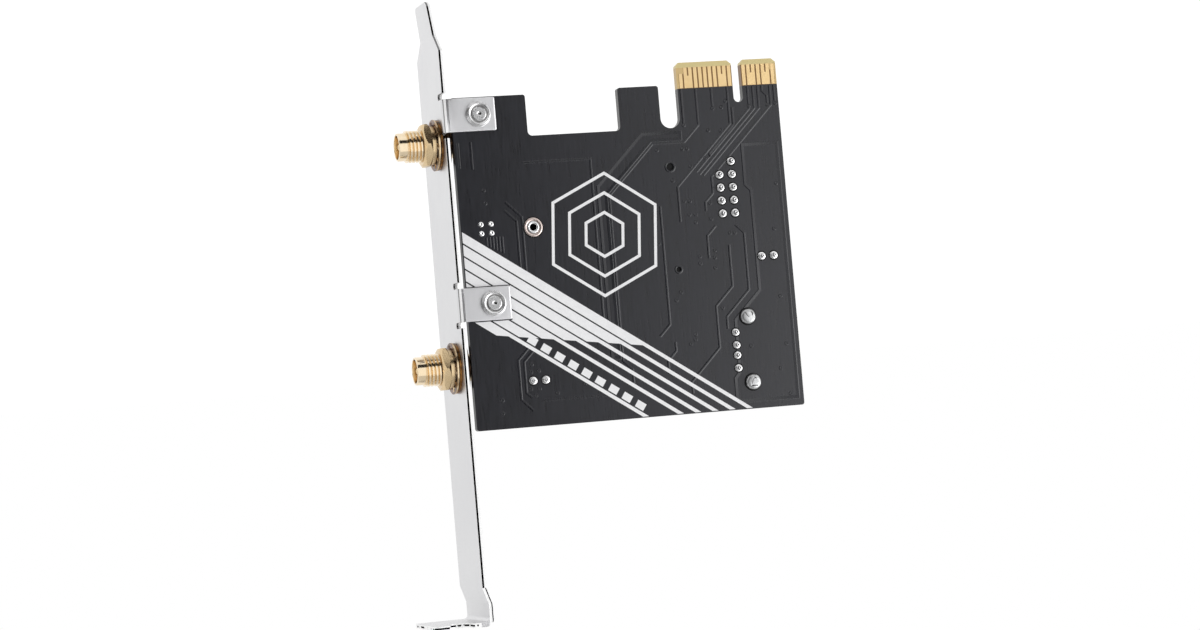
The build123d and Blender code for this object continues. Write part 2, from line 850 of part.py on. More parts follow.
def module_board():
    """The module's small board, with its key and its half-round screw notch."""
    half = module_width / 2
    edge_half = socket_slot_width / 2 - 0.15
    shoulder_x = socket_front_x + 0.3
    outline = rectangle(shoulder_x, standoff_x, module_centre_z - half, module_centre_z + half)
    outline += rectangle(
        module_edge_x, shoulder_x, module_centre_z - edge_half, module_centre_z + edge_half
    )
    key_z = module_centre_z + module_key_offset
    key_end_x = module_edge_x + module_key_depth - module_key_width / 2
    outline -= rectangle(
        module_edge_x - 1, key_end_x, key_z - module_key_width / 2, key_z + module_key_width / 2
    )
    outline -= Pos(key_end_x, key_z) * Circle(module_key_width / 2)
    outline -= Pos(standoff_x, module_centre_z) * Circle(module_notch_radius)
    return sheet(outline, module_under_y, module_top_y)


def module_shield():
    """The drawn metal can over the module's chips, open underneath."""
    x0 = socket_front_x + shield_from_socket
    x1 = x0 + shield_length
    half = module_width / 2 - shield_margin_side
    top_y = module_top_y + shield_height
    can = block(x0, x1, module_top_y, top_y, module_centre_z - half, module_centre_z + half)
    can = fillet(can.edges().filter_by(Axis.Y), shield_round)
    lid = can.edges().sort_by(Axis.Y)[-8:]
    can = fillet(lid, shield_wall)
    return can - block(
        x0 + shield_wall,
        x1 - shield_wall,
        module_top_y - 1,
        top_y - shield_wall,
        module_centre_z - half + shield_wall,
        module_centre_z + half - shield_wall,
    )


def module_jacks():
    """Two tiny round antenna jacks on the module."""
    x = standoff_x - jack_from_end
    half = jack_base / 2
    base_y = module_top_y + jack_base_height
    top_y = module_top_y + jack_height
    jacks = []
    for side in (-1, 1):
        z = module_centre_z + side * jack_offset
        jack = block(x - half, x + half, module_top_y, base_y, z - half, z + half)
        jack += rod_y(jack_ring_radius, x, z, base_y, top_y)
        jack -= rod_y(jack_ring_radius - jack_wall, x, z, base_y, top_y + 1)
        jack += rod_y(jack_pin_radius, x, z, base_y, top_y)
        jacks.append(jack)
    return group(jacks)


def standoff():
    """The brass standoff under the module's end, with a stub through the board."""
    z = module_centre_z
    post = rod_y(standoff_radius, standoff_x, z, part_y, module_under_y)
    post += rod_y(standoff_stub_radius, standoff_x, z, solder_y - pad_thick, part_y)
    bore_end_y = module_top_y - module_screw_length - 0.3
    post -= rod_y(standoff_bore_radius, standoff_x, z, bore_end_y, module_under_y + 1)
    return post - rod_y(standoff_hole_radius, standoff_x, z, solder_y - 1, bore_end_y + 0.1)


def module_screw():
    """The flat-headed screw that holds the module on its standoff."""
    z = module_centre_z
    head_y = module_top_y + module_screw_head_height
    head = rod_y(module_screw_head_radius, standoff_x, z, module_top_y, head_y)
    head = chamfer(head.edges().filter_by(GeomType.CIRCLE).sort_by(Axis.Y)[-1], module_screw_chamfer)
    half = recess_span / 3
    thin = recess_width / 3
    floor_y = head_y - 0.5
    x = standoff_x
    head -= block(x - half, x + half, floor_y, head_y + 1, z - thin, z + thin)
    head -= block(x - thin, x + thin, floor_y, head_y + 1, z - half, z + half)
    return head + rod_y(module_screw_radius, x, z, module_top_y - module_screw_length, module_top_y)


def square_pin(x, z, width, y0, y1):
    """A square pin along Y with a tapered end towards -Y and another towards +Y."""
    half = width / 2
    pin = block(x - half, x + half, y0, y1, z - half, z + half)
    ends = pin.edges().filter_by(Axis.Y, reverse=True)
    return chamfer(ends, width / 5)


def header_pins():
    """The header's nine gold pins."""
    top_y = part_y + header_base_height + header_pin_rise
    return group([square_pin(x, z, header_pin, tail_end_y, top_y) for x, z in header_places()])


def header_base():
    """The header's black base, grooved between its rows."""
    half = header_pitch / 2
    x0 = header_x - half
    x1 = header_x + header_pitch * (header_columns - 1) + half
    z0 = header_z - half
    z1 = header_z + header_pitch * (header_rows - 1) + half
    top_y = part_y + header_base_height
    base = block(x0, x1, part_y, top_y, z0, z1)
    for row in range(header_rows + 1):
        z = z0 + header_pitch * row
        for x in (x0, x1):
            notch = Pos(x, (part_y + top_y) / 2, z) * Rot(0, 45, 0)
            base -= notch * Box(header_groove, top_y - part_y + 1, header_groove)
    pin_half = header_pin / 2
    for x, z in header_places():
        base -= block(x - pin_half, x + pin_half, part_y - 1, top_y + 1, z - pin_half, z + pin_half)
    return base


def usb_shell():
    """The plug socket's folded steel shell, open at its mouth, with two lugs."""
    half = usb_width / 2
    low = usb_centre_z - half
    high = usb_centre_z + half
    shell = block(usb_mouth_x, usb_back_x, part_y, usb_top_y, low, high)
    shell = fillet(shell.edges().filter_by(Axis.X), usb_wall * 1.5)
    shell -= block(
        usb_mouth_x - 1,
        usb_back_x - usb_wall,
        part_y + usb_wall,
        usb_top_y - usb_wall,
        low + usb_wall,
        high - usb_wall,
    )
    shell -= block(
        usb_pin_x - usb_tail_width * 1.5,
        usb_back_x + 1,
        part_y - 1,
        part_y + usb_wall + 0.1,
        low + usb_wall,
        high - usb_wall,
    )
    window_x = usb_mouth_x + 1.6
    for side in (-1, 1):
        z = usb_centre_z + side * usb_width / 4
        shell -= block(
            window_x,
            window_x + usb_window_length,
            usb_top_y - usb_wall - 0.1,
            usb_top_y + 1,
            z - usb_window_width / 2,
            z + usb_window_width / 2,
        )
        finger_half = usb_window_width / 2 - usb_wall
        shell += block(
            window_x + usb_wall * 2,
            window_x + usb_window_length,
            usb_top_y - usb_wall,
            usb_top_y,
            z - finger_half,
            z + finger_half,
        )
    for x, z in usb_lug_places():
        reach = usb_lug_width / 2
        thin = usb_wall / 2
        lug_y = tail_end_y + 0.3
        shell += block(x - reach, x + reach, lug_y, part_y + usb_height / 2, z - thin, z + thin)
    return shell


def usb_contact(z):
    """One contact: a strip under the tongue that turns down through the board."""
    half = usb_contact_width / 2
    tail = usb_tail_width / 2
    start_x = usb_mouth_x + usb_tongue_recess + 1.0
    strip_y = usb_tongue_under_y - usb_contact_thick
    strip = block(start_x, usb_pin_x + tail, strip_y, usb_tongue_under_y, z - half, z + half)
    drop = block(usb_pin_x - tail, usb_pin_x + tail, tail_end_y, strip_y, z - tail, z + tail)
    return strip + drop


def usb_contacts():
    """The plug socket's four contacts."""
    return group([usb_contact(usb_centre_z + offset) for offset in usb_pin_offsets])


def usb_insulator():
    """The plug socket's black insulator: a rear block and the flat tongue."""
    inside = usb_width / 2 - usb_wall
    rear_x = usb_back_x - usb_wall
    front_x = rear_x - usb_block_length
    core = block(
        front_x,
        rear_x,
        part_y + usb_wall,
        usb_top_y - usb_wall,
        usb_centre_z - inside,
        usb_centre_z + inside,
    )
    half = usb_tongue_width / 2
    core += block(
        usb_mouth_x + usb_tongue_recess,
        front_x,
        usb_tongue_under_y,
        usb_tongue_top_y,
        usb_centre_z - half,
        usb_centre_z + half,
    )
    for offset in usb_pin_offsets:
        core -= usb_contact(usb_centre_z + offset)
    return core


def capacitor_can(centre):
    """A capacitor's drawn can, with the groove that grips its bung and a scored top."""
    x, z = centre
    base_y = part_y
    top_y = base_y + capacitor_height
    can = rod_y(capacitor_radius, x, z, base_y, top_y)
    can = chamfer(can.edges().filter_by(GeomType.CIRCLE).sort_by(Axis.Y)[-1], capacitor_top_chamfer)
    groove_y = base_y + capacitor_groove_height
    half_width = capacitor_groove_width / 2
    groove = rod_y(capacitor_radius + 1, x, z, groove_y - half_width, groove_y + half_width)
    groove -= rod_y(capacitor_radius - capacitor_groove_depth, x, z, base_y, top_y)
    can -= groove
    score_y = top_y - capacitor_score_depth
    reach = capacitor_radius * 0.7
    thin = capacitor_score_width / 2
    can -= block(x - reach, x + reach, score_y, top_y + 1, z - thin, z + thin)
    can -= block(x - thin, x + thin, score_y, top_y + 1, z - reach, z + reach)
    return can - rod_y(
        capacitor_radius - capacitor_wall, x, z, base_y - 1, base_y + capacitor_bung_height
    )


def capacitor_bung(centre):
    """The rubber bung in a capacitor's open end."""
    x, z = centre
    bung = rod_y(
        capacitor_radius - capacitor_wall, x, z, part_y, part_y + capacitor_bung_height
    )
    for lead_x, lead_z in lead_places(centre):
        bung -= rod_y(capacitor_lead_radius, lead_x, lead_z, part_y - 1, part_y + 2)
    return bung


def capacitor_leads(centre):
    """A capacitor's two leads, through its bung and the board."""
    top_y = part_y + capacitor_bung_height
    return group(
        [rod_y(capacitor_lead_radius, x, z, tail_end_y, top_y) for x, z in lead_places(centre)]
    )


def solder_cone(x, z, reach, lead):
    """Solder round a lead: a low cone on the board's solder side."""
    cone = Cone(reach + solder_spread, reach + solder_neck, solder_height)
    return Pos(x, solder_y - solder_height / 2, z) * Rot(90, 0, 0) * cone - lead


def header_solder():
    """The header's nine soldered joints."""
    joints = []
    for x, z in header_places():
        pin = square_pin(x, z, header_pin, tail_end_y, part_y)
        joints.append(solder_cone(x, z, header_pin / 2 ** 0.5, pin))
    return group(joints)


def usb_solder():
    """The plug socket's joints: four small ones and a large one at each lug."""
    joints = []
    half = usb_tail_width / 2
    for x, z in usb_pin_places():
        pin = block(x - half, x + half, tail_end_y, part_y, z - half, z + half)
        joints.append(solder_cone(x, z, usb_tail_width / 2 ** 0.5, pin))
    reach = usb_lug_width / 2
    thin = usb_wall / 2
    for x, z in usb_lug_places():
        lug = block(x - reach, x + reach, tail_end_y, part_y, z - thin, z + thin)
        mound = Cone(lug_solder_radius, lug_solder_radius * 0.72, lug_solder_height)
        mound = Pos(x, solder_y - lug_solder_height / 2, z) * Rot(90, 0, 0) * mound
        rim = mound.edges().filter_by(GeomType.CIRCLE).sort_by(Axis.Y)[0]
        joints.append(chamfer(rim, lug_solder_chamfer) - lug)
    return group(joints)


def capacitor_solder():
    """The joints of both capacitors."""
    joints = []
    for centre in capacitor_places.values():
        for x, z in lead_places(centre):
            lead = rod_y(capacitor_lead_radius, x, z, tail_end_y, part_y)
            joints.append(solder_cone(x, z, capacitor_lead_radius + 0.1, lead))
    return group(joints)


def tinned_pads():
    """Four round test pads and the ring round the standoff's stub."""
    pads = []
    x, z = pad_centre
    for side_x in (-0.5, 0.5):
        for side_z in (-0.5, 0.5):
            pad_x = x + side_x * pad_spacing[0]
            pad_z = z + side_z * pad_spacing[1]
            pads.append(rod_y(pad_radius, pad_x, pad_z, solder_y - pad_thick, solder_y))
    ring = rod_y(standoff_pad_radius, standoff_x, module_centre_z, solder_y - pad_thick, solder_y)
    pads.append(ring - rod_y(standoff_stub_radius, standoff_x, module_centre_z, solder_y - 1, 0))
    return group(pads)


def chip(centre, size):
    """A small flat block part on the board."""
    x, z = centre
    length, height, width = size
    return block(
        x - length / 2, x + length / 2, part_y, part_y + height, z - width / 2, z + width / 2
    )


def chip_bodies(places):
    """The ceramic middles of a group of chip parts."""
    length, height, width = chip_size
    middle = length * (1 - 2 * chip_cap_share)
    return group([chip(place, (middle, height, width)) for place in places])


def chip_ends():
    """The tinned end caps of every chip part."""
    length, height, width = chip_size
    cap = length * chip_cap_share
    caps = []
    for x, z in chip_capacitor_places + chip_resistor_places:
        for side in (-1, 1):
            cap_x = x + side * (length - cap) / 2
            caps.append(chip((cap_x, z), (cap, height, width)))
    return group(caps)


def regulator():
    """The voltage regulator's moulded body."""
    body = chip(regulator_centre, regulator_size)
    return chamfer(body.edges().group_by(Axis.Y)[-1], 0.3)


def regulator_leads():
    """The regulator's three leads and the broad tab across from them."""
    x, z = regulator_centre
    length, thick, reach = regulator_lead_size
    edge = regulator_size[2] / 2 + reach / 2
    pieces = [
        chip((x + regulator_lead_pitch * index, z + edge), (length, thick, reach))
        for index in (-1, 0, 1)
    ]
    pieces.append(chip((x, z - edge), (regulator_tab_width, thick, reach)))
    return group(pieces)


def inductor():
    """The power inductor's moulded block."""
    body = chip(inductor_centre, inductor_size)
    body = fillet(body.edges().filter_by(Axis.Y), inductor_round)
    return chamfer(body.edges().group_by(Axis.Y)[-1], inductor_top_chamfer)


def inductor_feet():
    """The inductor's two tinned feet."""
    x, z = inductor_centre
    offset = (inductor_size[0] + inductor_foot_size[0]) / 2
    return group([chip((x + side * offset, z), inductor_foot_size) for side in (-1, 1)])


def build_nodes():
    """Every node of the card, by name."""
    nodes = {
        "bracket": bracket(),
        "circuit_board": circuit_board(),
        "edge_contacts_solder_side": edge_contacts_solder_side(),
        "edge_contacts_part_side": edge_contacts_part_side(),
        "stripe_print": stripe_print(),
        "motif_print": motif_print(),
        "tinned_pads": tinned_pads(),
        "module_socket": module_socket(),
        "module_socket_tails": module_socket_tails(),
        "module_board": module_board(),
        "module_shield": module_shield(),
        "module_jacks": module_jacks(),
        "module_standoff": standoff(),
        "module_screw": module_screw(),
        "header_base": header_base(),
        "header_pins": header_pins(),
        "header_solder": header_solder(),
        "usb_shell": usb_shell(),
        "usb_insulator": usb_insulator(),
        "usb_contacts": usb_contacts(),
        "usb_solder": usb_solder(),
        "capacitor_solder": capacitor_solder(),
        "chip_capacitors": chip_bodies(chip_capacitor_places),
        "chip_resistors": chip_bodies(chip_resistor_places),
        "chip_ends": chip_ends(),
        "regulator": regulator(),
        "regulator_leads": regulator_leads(),
        "inductor": inductor(),
        "inductor_feet": inductor_feet(),
    }
    for place, z in zip(("lower", "upper"), ear_centres_z):
        nodes["bracket_screw_" + place] = bracket_screw(z)
    for place, z in zip(("lower", "upper"), port_centres_z):
        name = "antenna_port_" + place + "_"
        nodes[name + "body"] = port_body(z)
        nodes[name + "dielectric"] = port_dielectric(z)
        nodes[name + "centre_pin"] = port_centre_pin(z)
        nodes[name + "flat_washer"] = port_flat_washer(z)
        nodes[name + "lock_washer"] = port_lock_washer(z)
        nodes[name + "nut"] = port_nut(z)
        nodes[name + "ferrule"] = port_ferrule(z)
    for place, centre in capacitor_places.items():
        name = "capacitor_" + place + "_"
        nodes[name + "can"] = capacitor_can(centre)
        nodes[name + "bung"] = capacitor_bung(centre)
        nodes[name + "leads"] = capacitor_leads(centre)
    return nodes


os.makedirs("parts", exist_ok=True)
for node_name, node in build_nodes().items():
    export_step(node, "parts/" + node_name + ".step")
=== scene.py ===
"""Looks of a short wireless expansion card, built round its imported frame."""

import logging
import math
import random
from dataclasses import dataclass
from enum import Enum
from typing import Any, Callable, Optional, Sequence

import bmesh
import bpy
from mathutils import Matrix, Vector


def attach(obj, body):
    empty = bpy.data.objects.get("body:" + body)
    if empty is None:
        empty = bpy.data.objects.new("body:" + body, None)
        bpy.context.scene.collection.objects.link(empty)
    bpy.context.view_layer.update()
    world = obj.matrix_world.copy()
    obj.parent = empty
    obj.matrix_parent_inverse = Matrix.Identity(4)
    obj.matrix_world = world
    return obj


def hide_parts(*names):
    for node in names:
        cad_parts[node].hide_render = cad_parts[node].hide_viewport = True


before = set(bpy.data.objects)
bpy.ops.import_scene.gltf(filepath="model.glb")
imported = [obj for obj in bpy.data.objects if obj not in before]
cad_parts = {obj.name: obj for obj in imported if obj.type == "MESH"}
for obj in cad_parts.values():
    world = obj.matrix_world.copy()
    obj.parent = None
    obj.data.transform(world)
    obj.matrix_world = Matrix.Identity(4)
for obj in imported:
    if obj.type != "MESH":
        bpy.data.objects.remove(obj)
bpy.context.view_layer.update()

log = logging.getLogger("wifi_card")

MM = 0.001
BODY = "root"

SOLDER_Y = -0.8  # The board's faces, in mm.
PART_Y = 0.8
EAR_X = 52.9  # Middles of the ears' collars, in mm.
EAR_Z = (8.1, 44.4)
COLLAR_Y = -2.41  # Where the collars and their screws end, in mm.
PORT_Z = (13.1, 56.1)  # Heights of the antenna ports' axes, in mm.
HEADER_FIRST = (2.7, 19.86)  # Place of the header's first pin along x and z, in mm.
HEADER_PITCH = 2.54

Point2 = tuple[float, float]
Point3 = tuple[float, float, float]
Profile = Sequence[Point2]
Mesh = bmesh.types.BMesh
Tree = bpy.types.NodeTree
Node = bpy.types.Node
Socket = bpy.types.NodeSocket

WELD = 0.002  # Points of a CAD mesh nearer than this become one, in mm.
FLAT_ANGLE = 0.6  # Faces of a CAD mesh that turn by less become one, in degrees.
TOUCH = 0.02  # How near a plane a point counts as lying on it, in mm.

MATH = "ShaderNodeMath"
MIX = "ShaderNodeMixRGB"
NOISE = "ShaderNodeTexNoise"
RANGE = "ShaderNodeMapRange"
SPLIT = "ShaderNodeSeparateXYZ"


# Materials


def linear(colour: str) -> tuple[float, float, float, float]:
    """Turns an sRGB hex colour into linear values.

    Args:
        colour: The colour as "#RRGGBB".

    Returns:
        Red, green, blue and an alpha of one.
    """
    parts = [int(colour[i:i + 2], 16) / 255 for i in (1, 3, 5)]
    red, green, blue = (p / 12.92 if p <= 0.04045 else ((p + 0.055) / 1.055) ** 2.4 for p in parts)
    return red, green, blue, 1.0


def add_node(tree: Tree, kind: str, inputs: Any = (), **settings: Any) -> Node:
    """Adds a node with its settings, and sets or links its inputs.

    Args:
        tree: The node tree that takes the node.
        kind: The node's type.
        inputs: Values, sockets or nodes, in order or by the inputs' names. A node gives its first output.
        **settings: Values of the node's own fields.

    Returns:
        The new node.
    """
    node = tree.nodes.new(kind)
    for name, value in settings.items():
        setattr(node, name, value)
    for key, value in inputs.items() if isinstance(inputs, dict) else enumerate(inputs):
        if isinstance(value, Node):
            value = value.outputs[0]
        if isinstance(value, Socket):
            tree.links.new(value, node.inputs[key])
        else:
            node.inputs[key].default_value = value
    return node


def facing(tree: Tree) -> list[Socket]:
    """Finds which way a face is turned, as its shares along x, y and z."""
    normal = add_node(tree, "ShaderNodeNewGeometry").outputs["True Normal"]
    return list(add_node(tree, SPLIT, (normal,)).outputs)


class Grain(Enum):
    """How a surface was made, which sets the size of its fine relief along x, y and z, in mm."""

    # Real brushed, rolled and turned lines, plated grain and printed mesh are 0.01 to 0.1 mm wide,
    # too fine to show, so they are drawn as coarse as they need to show.
    MOULDED = (0.12, 0.12, 0.12)
    BRUSHED = (0.30, 0.30, 9.0)
    TURNED = (0.05, 2.5, 2.5)
    REFLOWED = (0.55, 0.55, 0.55)
    PLATED = (0.22, 0.22, 0.22)
    PRINTED = (0.16, 0.16, 0.16)
    WOVEN = (0.34, 1.0, 4.2)
    ROLLED = (0.12, 0.12, 3.0)


@dataclass(frozen=True)
class Finish:
    """A real material and the way its surface was made.

    Attributes:
        name: The material's name.
        colour: Its main colour.
        shade: The tone that it drifts to in patches.
        roughness: How far it spreads a reflection.
        metallic: One for a metal.
        ior: Its index of refraction, which a metal leaves as it is.
        grain: How the surface was made.
        relief: Height of the fine relief, in mm.
        patch: Size of the patches of the second tone, in mm.
        drift: Share of the second tone in a patch.
        uneven: How far the roughness strays either way.
        streak: Share of the second tone along the grain.
    """

    name: str
    colour: str
    shade: str
    roughness: float
    metallic: float = 0.0
    ior: float = 1.5
    grain: Grain = Grain.MOULDED
    relief: float = 0.002
    patch: float = 5.0
    drift: float = 0.5
    uneven: float = 0.05
    streak: float = 0.0

    def coordinates(self, tree: Tree) -> Socket:
        """Adds the piece's own coordinates, turned into mm."""
        place = add_node(tree, "ShaderNodeTexCoord").outputs["Object"]
        return add_node(tree, "ShaderNodeMapping", {"Vector": place, "Scale": (1 / MM,) * 3}).outputs[0]

    def colour_socket(self, tree: Tree, place: Socket, height: Socket) -> Socket:
        """Adds the main colour with the second tone in patches and along the grain.

        Args:
            tree: The material's nodes.
            place: Coordinates in mm.
            height: The fine relief.

        Returns:
            The colour.
        """
        cloud = add_node(tree, NOISE, {"Vector": place, "Scale": 1 / self.patch, "Detail": 4.0})
        shares = [
            add_node(tree, RANGE, {"Value": value, "From Min": 0.35, "From Max": 0.65, "To Max": most})
            for value, most in ((cloud.outputs["Fac"], self.drift), (height, self.streak))]
        both = add_node(tree, MATH, shares, operation="ADD", use_clamp=True)
        return add_node(tree, MIX, (both, linear(self.colour), linear(self.shade))).outputs[0]

    def height_socket(self, tree: Tree, place: Socket) -> Socket:
        """Adds the fine relief that the making left.

        Args:
            tree: The material's nodes.
            place: Coordinates in mm.

        Returns:
            The height of the relief, from nought to one.
        """
        sizes = tuple(1 / size for size in self.grain.value)
        stretched = add_node(tree, "ShaderNodeMapping", {"Vector": place, "Scale": sizes})
        noise = add_node(tree, NOISE, {"Vector": stretched.outputs[0], "Scale": 1.0, "Detail": 3.0})
        return noise.outputs["Fac"]

    def material(self) -> bpy.types.Material:
        """Makes the material, unless it is there already.

        Returns:
            The material.
        """
        found = bpy.data.materials.get(self.name)
        if found:
            return found
        made = bpy.data.materials.new(self.name)
        made.use_nodes = True
        tree = made.node_tree
        shader = tree.nodes["Principled BSDF"]
        place = self.coordinates(tree)
        height = self.height_socket(tree, place)
        bump = add_node(tree, "ShaderNodeBump",
                        {"Height": height, "Strength": 1.0, "Distance": self.relief * MM})
        # A noise mostly keeps between 0.3 and 0.7.
        gloss = add_node(tree, RANGE, {
            "Value": height, "From Min": 0.3, "From Max": 0.7,
            "To Min": self.roughness - self.uneven, "To Max": self.roughness + self.uneven})
        sockets = {"Base Color": self.colour_socket(tree, place, height), "Roughness": gloss.outputs[0],
                   "Normal": bump.outputs[0]}
        for name, socket in sockets.items():
            tree.links.new(socket, shader.inputs[name])
        shader.inputs["Metallic"].default_value = self.metallic
        if not self.metallic:
            shader.inputs["IOR"].default_value = self.ior
        self.finish_off(tree, shader, place)
        return made

    def finish_off(self, tree: Tree, shader: Node, place: Socket) -> None:
        """Adds what only one kind of finish has."""


@dataclass(frozen=True)
class Metal(Finish):
    """A bare or plated metal.

    Attributes:
        metallic: One, which makes it a metal.
        grain: How the surface was made, which is by plating unless another way is named.
    """

    metallic: float = 1.0
    grain: Grain = Grain.PLATED


@dataclass(frozen=True)
class MaskedLaminate(Finish):
    """Glass laminate under a black mask, bare round the contacts and on its bevelled tip.

    Attributes:
        bare: Colour of the laminate between the contacts.
        pale: Colour of the laminate beyond the short contact and in the margins.
        bevel: Colour of the cut glass on the bevel.
        edge: Colour of the milled edges.
        bare_top: Height where the mask starts over the contacts, in mm.
        bare_end: The x where the contact edge ends, in mm.
        middle_x: The x of the contact edge's middle, in mm.
        short_reach: How far from that middle the short contacts' strips start, in mm.
        margin_reach: How far from it the margins beyond the last contacts start, in mm.
        short_z: Height where the short contact starts, in mm.
        bevel_top: Height of the bevel, in mm.
    """

    bare: str = "#7A5620"
    pale: str = "#C9AC74"
    bevel: str = "#DCCB93"
    edge: str = "#2A2827"
    bare_top: float = 5.16
    bare_end: float = 13.0
    middle_x: float = 2.0
    short_reach: float = 8.9
    margin_reach: float = 9.93
    short_z: float = 2.25
    bevel_top: float = 1.06

    def colour_socket(self, tree: Tree, place: Socket, height: Socket) -> Socket:
        """Adds the mask, the bare strip, the bevel and the milled edges.

        Args:
            tree: The material's nodes.
            place: Coordinates in mm.
            height: The fine relief.

        Returns:
            The colour.
        """
        x, _, z = add_node(tree, SPLIT, (place,)).outputs
        values = {"x": x, "z": z, "flat": facing(tree)[1]}
        for name, operation, *terms in (
                ("flat", "ABSOLUTE", "flat"),
                ("milled", "LESS_THAN", "flat", 0.5),
                ("low", "LESS_THAN", "z", self.bare_top),
                ("near", "LESS_THAN", "x", self.bare_end),
                ("bare", "MULTIPLY", "low", "near"),
                ("reach", "SUBTRACT", "x", self.middle_x),
                ("reach", "ABSOLUTE", "reach"),
                ("beside", "GREATER_THAN", "reach", self.short_reach),
                ("under", "LESS_THAN", "z", self.short_z),
                ("short", "MULTIPLY", "beside", "under"),
                ("margin", "GREATER_THAN", "reach", self.margin_reach),
                ("pale", "MAXIMUM", "short", "margin"),
                ("pale", "MULTIPLY", "pale", "bare"),
                ("tip", "LESS_THAN", "z", self.bevel_top),
                ("bevel", "MULTIPLY", "tip", "near")):
            inputs = [values.get(term, term) for term in terms]
            values[name] = add_node(tree, MATH, inputs, operation=operation)
        result = super().colour_socket(tree, place, height)
        for share, colour in (("milled", self.edge), ("bare", self.bare), ("pale", self.pale),
                              ("bevel", self.bevel)):
            result = add_node(tree, MIX, (values[share], result, linear(colour))).outputs[0]
        return result


